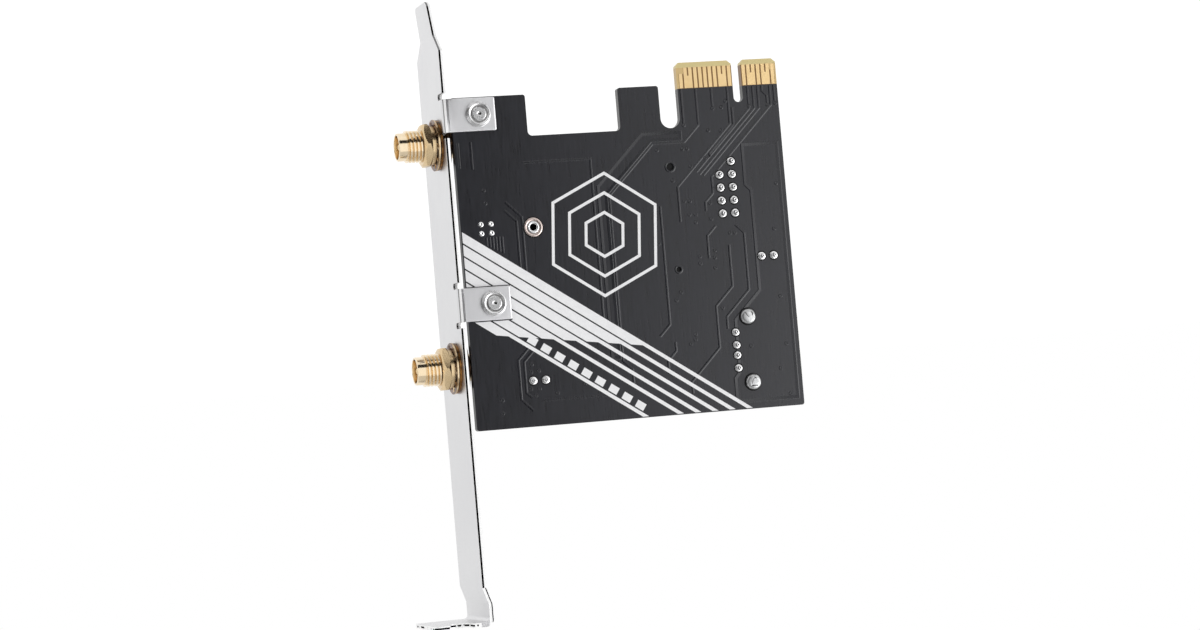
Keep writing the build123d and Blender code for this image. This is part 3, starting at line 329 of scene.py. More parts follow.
@dataclass(frozen=True)
class ShearedSteel(Metal):
    """Plated sheet steel whose punched edges are painted near-white as a highlight, with a near-black line
    beside the outer face and dark painted reflections along the tab.

    Attributes:
        dark_line_and_painted_reflection: Colour of the near-black line along the cut edges, and of the dark
            painted reflections along the tab.
        torn_and_highlight: Colour of the rest of the cut edge: matt torn metal, painted near-white as a
            highlight.
        scatter: How far a cut edge scatters the light instead of mirroring it.
        thick: Thickness of the sheet, in mm.
        slack: How far outside the outer face a cut edge may still lie, in mm.
        line_start: Where the dark line starts below the outer face, in mm.
        line_end: Where it ends, in mm.
        break_width: Width of the dark line below the jog, in mm.
        inner_start: Where the dark line starts below the jog, in mm.
        slant_share: How dark the line is where the edge slants.
        tab_reflection: Heights between which the dark painted reflections run along the tab, in mm.
        tab_start: The x where the tab starts, in mm.
        dash_length: Mean length of the dashes that the painted reflection along the tab comes in, in mm.
        outer_x: Where the outer face stands, in mm.
        root_z: Height of the tongue's root, in mm.
        lean: How far the tongue leans out for each mm down.
        jog_z: Height where the jog starts, in mm.
        jog_height: Height of the jog, in mm.
        jog_depth: How far the jog steps in, in mm.
        turn_limit: How much of a cut edge's direction may point across the sheet.
        square_limit: How much of it points along y where the edge doesn't slant.
    """

    dark_line_and_painted_reflection: str = "#08080A"
    torn_and_highlight: str = "#FAFAFA"
    scatter: float = 0.8
    thick: float = 0.87
    slack: float = 0.08
    line_start: float = 0.05
    line_end: float = 0.43
    break_width: float = 0.22
    inner_start: float = 0.46
    slant_share: float = 0.78
    tab_reflection: Point2 = (104.82, 105.16)
    tab_start: float = 60.6
    dash_length: float = 1.5
    outer_x: float = 59.91
    root_z: float = -7.85
    lean: float = math.tan(math.radians(6))
    jog_z: float = 98.1
    jog_height: float = 3.1
    jog_depth: float = 1.0
    turn_limit: float = 0.8
    square_limit: float = 0.96

    def cut_shares(self, tree: Tree, place: Socket) -> tuple[Node, Node]:
        """Finds the cut edges, and the dark line and painted reflections along them.

        Args:
            tree: The material's nodes.
            place: Coordinates in mm.

        Returns:
            The share of a cut edge, and the share of the dark line and painted reflections in it.
        """
        x, _, z = add_node(tree, SPLIT, (place,)).outputs
        noise = add_node(tree, NOISE, {"Vector": place, "Scale": 1 / self.dash_length, "Detail": 1.0})
        values = {"x": x, "z": z, "noise": noise.outputs["Fac"]}
        values.update(zip(("out", "side", "up"), facing(tree)))
        widening = self.inner_start + self.break_width + self.line_start - self.line_end
        for name, operation, *terms in (
                ("out", "ABSOLUTE", "out"),
                ("side", "ABSOLUTE", "side"),
                ("up", "ABSOLUTE", "up"),
                ("below", "SUBTRACT", self.root_z, "z"),
                ("below", "MAXIMUM", "below", 0.0),
                ("lean", "MULTIPLY", "below", self.lean),
                ("jog", "SUBTRACT", "z", self.jog_z),
                ("jog", "DIVIDE", "jog", self.jog_height),
                ("jog", "MAXIMUM", "jog", 0.0),
                ("jog", "MINIMUM", "jog", 1.0),
                ("step", "MULTIPLY", "jog", self.jog_depth),
                ("face", "ADD", "lean", self.outer_x),
                ("face", "SUBTRACT", "face", "step"),
                ("depth", "SUBTRACT", "face", "x"),
                ("turned_away", "LESS_THAN", "out", self.turn_limit),
                ("under_outer", "GREATER_THAN", "depth", -self.slack),
                ("over_inner", "LESS_THAN", "depth", self.thick),
                ("in_sheet", "MULTIPLY", "over_inner", "under_outer"),
                ("level", "LESS_THAN", "up", 0.5),
                ("on_tab", "GREATER_THAN", "x", self.tab_start),
                ("tab_edge", "MULTIPLY", "level", "on_tab"),
                ("cut", "MULTIPLY", "turned_away", "in_sheet"),
                ("cut", "MAXIMUM", "cut", "tab_edge"),
                ("past_jog", "GREATER_THAN", "z", self.jog_z),
                ("start", "MULTIPLY", "past_jog", self.inner_start),
                ("start", "ADD", "start", self.line_start),
                ("end", "MULTIPLY", "past_jog", widening),
                ("end", "ADD", "end", self.line_end),
                ("started", "GREATER_THAN", "depth", "start"),
                ("ended", "LESS_THAN", "depth", "end"),
                ("square", "GREATER_THAN", "side", self.square_limit),
                ("dark", "MAXIMUM", "square", self.slant_share),
                ("dark_line_and_painted_reflection", "MULTIPLY", "started", "ended"),
                ("dark_line_and_painted_reflection", "MULTIPLY", "dark_line_and_painted_reflection", "cut"),
                ("dark_line_and_painted_reflection", "MULTIPLY", "dark_line_and_painted_reflection", "dark"),
                # Dashes of painted dark reflection along the tab.
                ("dash", "GREATER_THAN", "noise", 0.5),
                ("dash", "MULTIPLY", "dash", "tab_edge"),
                ("tab_started", "GREATER_THAN", "z", self.tab_reflection[0]),
                ("dash", "MULTIPLY", "dash", "tab_started"),
                ("tab_ended", "LESS_THAN", "z", self.tab_reflection[1]),
                ("dash", "MULTIPLY", "dash", "tab_ended"),
                ("dark_line_and_painted_reflection", "MAXIMUM", "dark_line_and_painted_reflection", "dash")):
            inputs = [values.get(term, term) for term in terms]
            values[name] = add_node(tree, MATH, inputs, operation=operation)
        return values["cut"], values["dark_line_and_painted_reflection"]

    def finish_off(self, tree: Tree, shader: Node, place: Socket) -> None:
        """Paints the cut edges near-white as a highlight, and draws the dark line and the painted reflections
        along them.

        Args:
            tree: The material's nodes.
            shader: Its shader.
            place: Coordinates in mm.
        """
        cut, dark_line_and_painted_reflection = self.cut_shares(tree, place)
        plating = shader.inputs["Base Color"].links[0].from_socket
        paled = add_node(tree, MIX, (cut, plating, linear(self.torn_and_highlight)))
        shown = add_node(tree, MIX, (dark_line_and_painted_reflection, paled, linear(self.dark_line_and_painted_reflection)))
        dull = add_node(tree, MATH, (cut, self.scatter), operation="MULTIPLY")
        metal = add_node(tree, MATH, (1.0, dull), operation="SUBTRACT")
        whole = add_node(tree, MATH, (1.0, dark_line_and_painted_reflection), operation="SUBTRACT")
        gleam = add_node(tree, MATH, (whole, 0.5), operation="MULTIPLY")
        for name, node in (("Base Color", shown), ("Metallic", metal), ("Specular IOR Level", gleam)):
            tree.links.new(node.outputs[0], shader.inputs[name])


@dataclass(frozen=True)
class StampedBrass(Metal):
    """Stamped brass whose flat faces are painted brown as shade beside its bright rims.

    Attributes:
        face: Colour of the flat faces, painted brown as shade.
        patch_shade: The painted shade that they drift to in patches.
        blotch: Size of those patches, in mm.
        flat_limit: How much of a flat face's direction points along x at least.
    """

    face: str = "#4A2C1A"
    patch_shade: str = "#7E5636"
    blotch: float = 1.1
    flat_limit: float = 0.75

    def colour_socket(self, tree: Tree, place: Socket, height: Socket) -> Socket:
        """Adds the rims' colour and the flat faces' painted brown shade.

        Args:
            tree: The material's nodes.
            place: Coordinates in mm.
            height: The fine relief.

        Returns:
            The colour.
        """
        rim = super().colour_socket(tree, place, height)
        along = add_node(tree, MATH, (facing(tree)[0],), operation="ABSOLUTE")
        flat = add_node(tree, MATH, (along, self.flat_limit), operation="GREATER_THAN")
        cloud = add_node(tree, NOISE, {"Vector": place, "Scale": 1 / self.blotch, "Detail": 2.0})
        spread = add_node(tree, RANGE, {"Value": cloud.outputs["Fac"], "From Min": 0.5, "From Max": 0.65})
        brown = add_node(tree, MIX, (spread, linear(self.face), linear(self.patch_shade)))
        return add_node(tree, MIX, (flat, rim, brown)).outputs[0]


# Black epoxy solder mask over woven glass laminate, screen printed and cured: a satin black in
# which the weave shows as faint upright lines.
SOLDER_MASK = MaskedLaminate(
    "solder_mask_cured_on_laminate", "#0B0C13", "#12131C", 0.30, grain=Grain.WOVEN,
    relief=0.008, patch=9.0, uneven=0.03, streak=0.8)
# The same mask where it runs over copper: only its sloping edges catch the light.
MASK_ON_COPPER = Finish(
    "solder_mask_cured_on_copper", "#0B0C13", "#12131C", 0.27, ior=1.52, grain=Grain.WOVEN,
    relief=0.003, patch=9.0, uneven=0.03, streak=0.6)
# Mask that stops short of a pad: the bare laminate in the gap is darker than the mask.
# The same near-black floors the bores that take a peg, as painted shade.
MASK_GAP_AND_BORE_SHADE = Finish(
    "laminate_bare_and_bore_shade", "#060607", "#0C0C0E", 0.7, ior=1.35, grain=Grain.WOVEN,
    relief=0.004, patch=1.0)
# Immersion gold over nickel on etched copper: bright, with a faint grain.
CONTACT_GOLD = Metal(
    "contact_gold_plated", "#DFC392", "#D2B480", 0.36, grain=Grain.ROLLED,
    relief=0.0012, patch=2.2, uneven=0.06)
# Turned brass with a pale gold flash: fine rings from the lathe, mirror-like between them.
PORT_GOLD = Metal(
    "brass_turned_and_gold_plated", "#F0DFC3", "#E2C99C", 0.15, grain=Grain.TURNED,
    relief=0.0012, patch=2.0, drift=0.4)
# The same flash on flat milled faces: fine lines across, a little duller.
NUT_GOLD = Metal(
    "brass_milled_and_gold_plated", "#DEC69E", "#D0B58A", 0.27,
    relief=0.0014, patch=1.6, uneven=0.06)
# Stamped brass washers under the same flash: bright rounded rims, with the flat faces painted brown as shade.
WASHER_BRASS = StampedBrass(
    "brass_stamped_and_gold_plated", "#EBD6B2", "#9A6F3C", 0.26,
    patch=1.4, drift=0.9, uneven=0.06)
# The washer against the sheet, deep in the nut's shade: a darker copy of the washer brass, painted as shade,
# gold beside dark brown.
SHADED_WASHER_BRASS = StampedBrass(
    "brass_stamped_painted_shade", "#976B3C", "#2E1B10", 0.28,
    patch=1.2, drift=1.0, uneven=0.06)
# Brass behind the sheet, painted brown and dull as the shade it lies in.
SHADED_FLANGE_BRASS = Metal(
    "brass_milled_painted_shade", "#5E4630", "#2E2420", 0.45,
    patch=2.6, drift=1.0, uneven=0.06)
# Nickel-plated sheet steel, cold rolled: a pale satin with long faint lines.
# Its cut edges are painted near-white as a highlight, with a near-black line by the outer face and dark
# painted reflections along the tab.
BRACKET_STEEL = ShearedSteel(
    "sheet_steel_nickel_plated", "#DEDEDF", "#D7D7D9", 0.40, grain=Grain.ROLLED,
    relief=0.0012, patch=14.0)
# Nickel-plated machine screws: small, bright and turned.
SCREW_STEEL = Metal(
    "screw_steel_nickel_plated", "#E4E4E4", "#CDCDCE", 0.30,
    relief=0.003, patch=0.8, drift=0.6, uneven=0.07)
# Drawn nickel silver, brushed before forming: soft and grey with lines one way.
SHIELD_STEEL = Metal(
    "nickel_silver_drawn", "#C9C7C0", "#BDBBB5", 0.32, grain=Grain.BRUSHED,
    relief=0.0015, patch=6.0, uneven=0.07)
# Tin solder, reflowed: bright, rippled and a little uneven.
SOLDER = Metal(
    "tin_solder_reflowed", "#F6F6F6", "#DCDDDE", 0.27, grain=Grain.REFLOWED,
    relief=0.016, patch=0.8, drift=0.4, uneven=0.08)
# The same solder in a broad cake, cooled slowly: greyer and duller.
LUG_SOLDER = Metal(
    "tin_solder_cooled_slowly", "#C0C1C1", "#A6A7A7", 0.34, grain=Grain.REFLOWED,
    relief=0.03, patch=0.9, drift=0.8, uneven=0.08)
# Cut ends of tinned leads: the sheared copper alloy core, its dark grey partly painted shade. The same dark
# grey draws the lugs' folds as painted shade.
CUT_LEAD_AND_SHADE = Metal(
    "copper_alloy_sheared_painted_shade", "#4C4A49", "#323133", 0.42,
    relief=0.004, patch=0.4, drift=0.6, uneven=0.08)
# A mid grey painted on the floors of the grooves round the collars' screws, as the shade in them.
GROOVE_SHADE_STEEL = Metal(
    "sheet_steel_painted_groove_shade", "#9A9998", "#858484", 0.40,
    relief=0.003, patch=0.8, drift=0.6, uneven=0.06)
# Matt tin plate on copper alloy leads.
TIN_PLATE = Metal(
    "lead_frame_tin_plated", "#CFCFCE", "#BBBBBA", 0.38,
    relief=0.0015, patch=0.9, uneven=0.06)
# Thin tin over copper on a broad ring: silver with a warm blush.
WARM_TIN = Metal(
    "ring_tin_on_copper", "#D9CCC6", "#C5B1A9", 0.30,
    relief=0.003, patch=0.8, drift=0.7, uneven=0.07)
# Steel painted almost black as the shade deep in the standoff's bore, round a screw's tip and in its dent.
SHADE_DARK_STEEL = Metal(
    "steel_painted_shade", "#1C1B1C", "#101011", 0.35, grain=Grain.TURNED,
    patch=0.6, uneven=0.06)
# White epoxy ink, screen printed: flat, with a fine mesh grain.
WHITE_INK = Finish(
    "epoxy_ink_screen_printed", "#EAEAEB", "#DDDDDF", 0.55, grain=Grain.PRINTED,
    relief=0.003, patch=1.2, drift=0.3, streak=0.5)
# Glass-filled nylon, moulded black: a fine spark texture.
BLACK_NYLON = Finish(
    "nylon_moulded_black", "#1B1B1D", "#222224", 0.48, ior=1.53, relief=0.004, patch=3.0, uneven=0.06)
# Turned white fluoropolymer: soft and waxy.
WHITE_POLYMER = Finish(
    "fluoropolymer_turned", "#EFEDE6", "#E4E1D8", 0.42, ior=1.38, grain=Grain.TURNED,
    patch=1.5)
# The module's own laminate under a green-black mask.
MODULE_MASK = Finish(
    "module_mask_cured", "#12211C", "#182A23", 0.36, grain=Grain.WOVEN,
    relief=0.004, patch=5.0, drift=0.6)
# Epoxy moulding compound of chips: near black with a fine peppered grain.
CHIP_EPOXY = Finish(
    "epoxy_moulded_chip", "#1C1C1D", "#262627", 0.55, ior=1.55, grain=Grain.PRINTED,
    relief=0.004, patch=1.2)
# Pressed ferrite with a ground top.
FERRITE = Finish(
    "ferrite_pressed", "#3A3B3D", "#2D2E30", 0.5, ior=1.6, grain=Grain.REFLOWED,
    relief=0.01, patch=1.4, drift=0.7, uneven=0.08)
# Fired ceramic of chip capacitors: tan and slightly glassy.
TAN_CERAMIC = Finish(
    "ceramic_fired_tan", "#9B7448", "#86613A", 0.42, ior=1.6, grain=Grain.PRINTED,
    patch=0.7)
# Glazed resistor bodies.
DARK_CERAMIC = Finish(
    "ceramic_glazed_dark", "#202226", "#2A2C31", 0.25, ior=1.55, grain=Grain.PRINTED,
    relief=0.001, patch=0.7, uneven=0.04)
# Drawn aluminium can, lacquered.
CAN_ALUMINIUM = Metal(
    "aluminium_drawn", "#D2D3D5", "#C3C4C7", 0.28, grain=Grain.TURNED,
    relief=0.0015, patch=3.0, drift=0.4)
# Butyl rubber bung.
RUBBER = Finish(
    "butyl_rubber_moulded", "#1F1E1E", "#2A2828", 0.7, ior=1.52, relief=0.006, patch=1.2)


# Mesh tools


def place_piece(name: str, mesh: Mesh, finish: Finish, slot: str, *stands_for: str,
                crease: float = 32.0) -> bpy.types.Object:
    """Turns a mesh in mm into a piece that rides on the card.

    Args:
        name: The piece's name.
        mesh: The mesh, in mm. It is used up.
        finish: The piece's finish.
        slot: Not used.
        *stands_for: CAD nodes that the piece stands for.
        crease: The angle in degrees above which an edge stays sharp.

    Returns:
        The new piece.
    """
    bmesh.ops.recalc_face_normals(mesh, faces=mesh.faces)
    for face in mesh.faces:
        face.smooth = True
    for edge in mesh.edges:
        if len(edge.link_faces) == 2:
            edge.smooth = edge.calc_face_angle(0.0) < math.radians(crease)
    data = bpy.data.meshes.new(name)
    mesh.to_mesh(data)
    mesh.free()
    data.transform(Matrix.Scale(MM, 4))
    data.materials.append(finish.material())
    piece = bpy.data.objects.new(name, data)
    bpy.context.scene.collection.objects.link(piece)
    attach(piece, BODY)
    if stands_for:
        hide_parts(*stands_for)
    log.info("made %s of %s", name, finish.name)
    return piece


def dress(finish: Finish, *nodes: str) -> None:
    """Gives CAD nodes their finish.

    Args:
        finish: The finish.
        *nodes: Names of CAD nodes.
    """
    for name in nodes:
        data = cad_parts[name].data
        data.materials.clear()
        data.materials.append(finish.material())
        log.info("dressed %s in %s", name, finish.name)


def softened(node: str, name: str, width: float, finish: Finish, slot: str, segments: int = 2,
             sharp: float = 28.0, reshape: Optional[Callable[[Mesh], None]] = None) -> bpy.types.Object:
    """Copies a CAD node with its edges rounded as the real process leaves them.

    Args:
        node: The CAD node.
        name: The new piece's name.
        width: Width of the rounding, in mm.
        finish: The piece's finish.
        slot: Passed on to place_piece, which doesn't use it.
        segments: Steps in the rounding.
        sharp: The angle in degrees above which an edge is rounded.
        reshape: What else is done to the copied mesh.

    Returns:
        The new piece, which stands for the node.
    """
    mesh = bmesh.new()
    mesh.from_mesh(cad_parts[node].data)
    bmesh.ops.transform(mesh, matrix=Matrix.Scale(1 / MM, 4), verts=mesh.verts)
    bmesh.ops.remove_doubles(mesh, verts=mesh.verts, dist=WELD)
    bmesh.ops.dissolve_limit(mesh, angle_limit=math.radians(FLAT_ANGLE), verts=mesh.verts, edges=mesh.edges)
    if reshape:
        reshape(mesh)
    piece = place_piece(name, mesh, finish, slot, node)
    bevel = piece.modifiers.new("edge_round", "BEVEL")
    bevel.width = width * MM
    bevel.segments = segments
    bevel.limit_method = "ANGLE"
    bevel.angle_limit = math.radians(sharp)
    bevel.use_clamp_overlap = True
    bevel.miter_outer = "MITER_ARC"
    weighted = piece.modifiers.new("even_shading", "WEIGHTED_NORMAL")
    weighted.keep_sharp = True
    return piece


class Axis(Enum):
    """The line that a turned piece is turned about."""

    X = "x"
    Y = "y"


def turned(profile: Profile, centre: Point3, axis: Axis, segments: int = 64,
           ripple: Optional[Callable[[float, float], float]] = None,
           mesh: Optional[Mesh] = None) -> Mesh:
    """Turns an outline about an axis.

    Args:
        profile: Points as distance along the axis and radius, in mm.
        centre: A point on the axis, in mm. Its place along the axis counts as zero.
        axis: The axis.
        segments: Steps round the axis.
        ripple: What is added to the radius at a distance along and an angle round.
        mesh: A mesh that takes the new faces.

    Returns:
        The mesh.
    """
    mesh = mesh or bmesh.new()
    rings = []
    for along, radius in profile:
        ring = []
        steps = 1 if radius < 1e-6 else segments
        for index in range(steps):
            angle = 2 * math.pi * index / segments
            reach = radius + (ripple(along, angle) if ripple and steps > 1 else 0.0)
            across, up = reach * math.cos(angle), reach * math.sin(angle)
            offset = (along, across, up) if axis is Axis.X else (across, along, up)
            ring.append(mesh.verts.new([c + o for c, o in zip(centre, offset)]))
        rings.append(ring)
    for first, second in zip(rings, rings[1:]):
        for index in range(segments):
            after = (index + 1) % segments
            corners = [first[index % len(first)], first[after % len(first)],
                       second[after % len(second)], second[index % len(second)]]
            unique = list(dict.fromkeys(corners))
            if len(unique) > 2:
                mesh.faces.new(unique)
    return mesh


def arc(centre: Point2, radius: float, start: float, end: float, steps: int) -> list[Point2]:
    """Points of an arc in a profile.

    Args:
        centre: The arc's centre.
        radius: Its radius.
        start: First angle in degrees, from the direction along the axis.
        end: Last angle in degrees.
        steps: Number of steps between them.

    Returns:
        The points.
    """
    angles = [math.radians(start + (end - start) * i / steps) for i in range(steps + 1)]
    return [(centre[0] + radius * math.cos(a), centre[1] + radius * math.sin(a)) for a in angles]


def bridge(mesh: Mesh, rows: Sequence[Sequence[bmesh.types.BMVert]], closed: bool = False) -> None:
    """Fills the strips between neighbouring rows of points with faces.

    Args:
        mesh: The mesh that takes the faces.
        rows: The rows.
        closed: Whether each row comes back to its start.
    """
    for first, second in zip(rows, rows[1:]):
        count = min(len(first), len(second))
        for index in range(count if closed else count - 1):
            after = (index + 1) % count
            mesh.faces.new((first[index], first[after], second[after], second[index]))


# The board


def offset_line(points: Sequence[Point2], distance: float, closed: bool = False) -> list[Vector]:
    """Shifts a line sideways, with mitred corners.

    Args:
        points: The line's points.
        distance: How far it shifts to its left.
        closed: Whether the line comes back to its start.

    Returns:
        The shifted points.
    """
    line = [Vector(p) for p in points]
    count = len(line)
    shifted = []
    for index, point in enumerate(line):
        before = (point - line[index - 1]).normalized() if index or closed else None
        after = (line[(index + 1) % count] - point).normalized() if index + 1 < count or closed else None
        first, second = (Vector((-way.y, way.x)) for way in (before or after, after or before))
        shifted.append(point + (first + second) * distance / (1 + first.dot(second)))
    return shifted


@dataclass
class Copper:
    """Copper under the mask of one face: tracks, poured areas and rings round small holes.

    Attributes:
        name: The start of the pieces' names.
        face_y: The board's face, in mm.
        outward: -1 on the solder side and 1 on the part side.
        tracks: Each track's centre line, in mm.
        pours: Each poured area's outline, in mm.
        rings: Each ring's centre, in mm.
        bores: Centre and radius of each bore that takes a peg, in mm.
        gaps: Outline of each band between poured areas, in mm.
        track_width: Width of a track at its foot, in mm.
        height: Height of the copper over the laminate, in mm.
        slope: Width of its sloping sides, in mm.
        fade: How far in from its edge a poured area stands above the laminate round it, in mm.
        ring_radius: Outer radius of a ring, in mm.
        hole_radius: Radius of the dimple in it, in mm.
        bore_rim: Width of the raised rim of a bore, in mm.
        bore_depth: Depth of its floor, painted near-black as shade, in mm.
    """

    name: str
    face_y: float
    outward: int
    tracks: Sequence[Profile]
    pours: Sequence[Profile]
    rings: Sequence[Point2]
    bores: Sequence[Point3] = ()
    gaps: Sequence[Profile] = ()
    track_width: float = 0.60
    height: float = 0.046
    slope: float = 0.19
    fade: float = 0.90
    ring_radius: float = 0.46
    hole_radius: float = 0.17
    bore_rim: float = 0.42
    bore_depth: float = 0.27

    @property
    def foot_y(self) -> float:
        """Where the copper's sides meet the laminate."""
        return self.face_y - self.outward * 0.01

    @property
    def top_y(self) -> float:
        """The mask's face over the copper."""
        return self.face_y + self.outward * self.height

    def row(self, mesh: Mesh, points: Sequence[Vector], y: float) -> list[bmesh.types.BMVert]:
        """Adds one row of points at a height."""
        return [mesh.verts.new((p.x, y, p.y)) for p in points]

    def add_track(self, mesh: Mesh, points: Profile) -> None:
        """Adds one track with sloping sides and ends.

        Args:
            mesh: The mesh that takes it.
            points: The track's centre line, in mm.
        """
        half, foot, top = self.track_width / 2, self.foot_y, self.top_y
        sides = ((-half, foot), (self.slope - half, top), (half - self.slope, top), (half, foot))
        rows = [self.row(mesh, offset_line(points, side), y) for side, y in sides]
        bridge(mesh, rows)
        for end in (0, -1):
            mesh.faces.new([row[end] for row in rows])

    def add_pour(self, mesh: Mesh, points: Profile) -> None:
        """Adds the raised edge of one poured area or band, which the mask levels out further in.

        Args:
            mesh: The mesh that takes it.
            points: The outline, in mm.
        """
        area = sum(a[0] * b[1] - b[0] * a[1] for a, b in zip(points, [*points[1:], points[0]]))
        turn = math.copysign(1.0, area)
        high = self.top_y - self.outward * 0.006
        steps = ((0.0, self.foot_y), (self.slope, high), (self.fade, self.foot_y))
        rows = [self.row(mesh, offset_line(points, turn * inward, True), y) for inward, y in steps]
        bridge(mesh, rows, closed=True)

    def add_ring(self, mesh: Mesh, centre: Point2) -> None:
        """Adds the raised ring and the dimple of one small hole.

        Args:
            mesh: The mesh that takes it.
            centre: The hole's place along x and z, in mm.
        """
        out, high = self.outward, self.height
        outline = [(-0.01 * out, self.ring_radius), (high * out, self.ring_radius - 0.13),
                   (high * out, self.hole_radius + 0.08), (0.004 * out, self.hole_radius), (0.002 * out, 0.0)]
        turned(outline, (centre[0], self.face_y, centre[1]), Axis.Y, 20, mesh=mesh)

    def add_bores(self) -> None:
        """Makes the raised rims of the bores that take a peg, and their floors, painted near-black as shade.
        """
        rims, floors = bmesh.new(), bmesh.new()
        out, deep = self.outward, -self.outward * self.bore_depth
        for x, z, radius in self.bores:
            outer, high = radius + self.bore_rim, self.height * out
            rim = [(-0.01 * out, outer), (high, outer - self.slope), (high, radius + 0.10),
                   (0.0, radius - 0.01), (deep, radius - 0.02)]
            turned(rim, (x, self.face_y, z), Axis.Y, 36, mesh=rims)
            turned([(deep, radius - 0.01), (deep, 0.0)], (x, self.face_y, z), Axis.Y, 24, mesh=floors)
        place_piece(f"{self.name}_bore_rims", rims, MASK_ON_COPPER, "black_board", crease=15)
        place_piece(f"{self.name}_bore_floor_painted_shade", floors, MASK_GAP_AND_BORE_SHADE, "black_board")

    def build(self) -> None:
        """Makes the tracks, the poured areas, the bands and the rings."""
        groups = (("tracks", self.add_track, self.tracks), ("pours", self.add_pour, self.pours),
                  ("gaps", self.add_pour, self.gaps), ("rings", self.add_ring, self.rings))
        for part, add, places in groups:
            if not places:
                continue
            mesh = bmesh.new()
            for place in places:
                add(mesh, place)
            place_piece(f"{self.name}_copper_{part}", mesh, MASK_ON_COPPER, "black_board", crease=8)
        if self.bores:
            self.add_bores()


@dataclass
class Board:
    """The circuit board with its contacts, print and copper relief.

    Attributes:
        peg_bores: Centre and radius of each bore that takes a peg of the module's socket, in mm.
    """

    peg_bores: Sequence[Point3] = ((15.2, 20.3, 0.75), (15.2, 40.35, 0.5))

    def solder_tracks(self) -> list[Profile]:
        """Tracks on the solder side: the fan from the contacts, the long runs and the antenna pairs.

        Returns:
            Each track's centre line, in mm.
        """
        top, turn = 5.3, 9.7
        fan = [[(x, top), (x, turn), (x + reach, turn + reach)]
               for x, reach in ((-2.0, 11.9), (-3.1, 12.4), (-4.1, 12.6))]
        fan.append([(-5.0, top), (-5.0, 6.4), (-5.9, 7.3), (-5.9, 9.0)])
        fan.append([(-6.6, top), (-6.6, 9.2), (6.9, 22.7), (6.9, 25.9), (8.6, 27.6), (8.6, 29.4)])
        fan.append([(-7.5, top), (-7.5, 8.8)])
        contact_side = [
            [(2.2, top), (2.2, 12.5), (14.0, 24.3), (14.0, 31.2)],
            [(1.5, 9.3), (1.5, 12.7), (6.9, 18.1), (6.9, 18.8)],
            [(8.7, top), (8.7, 12.4), (11.9, 15.6), (18.4, 15.6), (28.0, 25.2), (28.0, 57.2), (26.2, 59.0),
             (26.2, 62.4)],
            [(5.5, top), (5.5, 9.2)],
            [(11.7, top), (11.7, 12.0)],
        ]
        plug_side = [
            [(4.5, 36.2), (4.5, 44.3), (8.2, 48.0), (8.2, 56.1), (14.4, 62.3), (14.4, 64.6)],
            [(2.9, 32.3), (1.2, 34.0), (1.2, 45.2), (6.2, 50.2), (6.2, 52.6)],
            [(6.9, 32.3), (8.8, 34.2), (8.8, 38.6)],
            [(17.9, 27.9), (17.9, 50.9), (20.1, 53.1)],
            [(17.1, 54.4), (17.1, 56.1), (18.9, 57.9), (18.9, 60.4)],
        ]
        bracket_side = [
            [(44.7, 17.8), (31.2, 17.8), (31.2, 50.0)],
            [(48.8, 25.2), (45.8, 28.2), (45.8, 40.4)],
            [(49.2, 26.7), (46.9, 29.0), (46.9, 40.4)],
            [(57.2, 13.3), (57.2, 18.3)],
            [(54.7, 13.3), (54.7, 18.6)],
            [(46.6, 53.4), (48.8, 55.6), (48.8, 63.2), (46.6, 65.4)],
            [(45.5, 53.8), (47.7, 56.0), (47.7, 61.9), (46.7, 62.9)],
            [(45.0, 63.6), (29.4, 63.6)],
        ]
        comb = [[(53.1 - 0.62 * step, 31.7), (53.1 - 0.62 * step, 33.4 + 0.3 * step)] for step in range(6)]
        return fan + contact_side + plug_side + bracket_side + comb

    def solder_pours(self) -> list[Profile]:
        """The poured area along the far edge of the solder side."""
        return [[(-7.5, 16.3), (0.5, 16.3), (0.5, 24.8), (-0.6, 25.9), (-0.6, 45.3), (4.9, 50.8), (4.9, 61.0),
                 (5.9, 62.2), (5.9, 67.3), (-7.5, 67.3)]]

    def solder_gaps(self) -> list[Profile]:
        """The band that follows the long run on the solder side."""
        return [[(12.2, 13.2), (20.6, 13.2), (30.5, 23.1), (30.5, 57.0), (28.2, 57.0), (28.2, 25.1),
                 (18.5, 15.4), (12.2, 15.4)]]

    def solder_rings(self) -> list[Point2]:
        """Small plated holes on the solder side.

        Returns:
            Each hole's place along x and z, in mm.
        """
        near_contacts = [
            (5.5, 9.3), (6.8, 13.6), (4.2, 13.8), (12.4, 16.9), (11.4, 16.9), (17.6, 16.9), (11.7, 12.3),
            (7.9, 18.9), (3.7, 9.2), (2.8, 8.0), (11.0, 20.4), (14.9, 23.0)]
        middle = [
            (10.9, 31.4), (12.1, 29.8), (10.8, 29.9), (7.7, 27.8), (7.7, 30.9), (12.9, 27.1), (11.8, 27.2),
            (4.1, 33.9), (3.1, 33.9), (18.9, 35.1), (10.7, 38.1), (10.7, 39.5), (7.5, 37.1), (7.6, 38.5),
            (7.7, 40.5), (16.2, 46.3), (15.1, 44.8), (6.9, 48.4), (12.9, 53.2), (13.0, 54.2), (14.0, 55.0)]
        far = [
            (-6.3, 24.7), (-5.1, 33.6), (-5.2, 46.9), (-5.6, 56.3), (-5.6, 66.1), (1.7, 56.2), (-4.0, 61.0)]
        bracket_side = [
            (46.3, 56.6), (46.5, 58.0), (45.0, 57.9), (46.8, 61.2), (45.1, 61.3), (45.9, 62.6), (41.6, 62.4),
            (52.6, 63.0), (52.7, 65.5), (52.9, 22.7), (52.8, 25.2), (36.0, 61.0), (33.4, 56.8)]
        fan_ends = [(-2.0, 9.2), (-5.9, 9.2), (-7.5, 8.9)]
        return near_contacts + middle + far + bracket_side + fan_ends

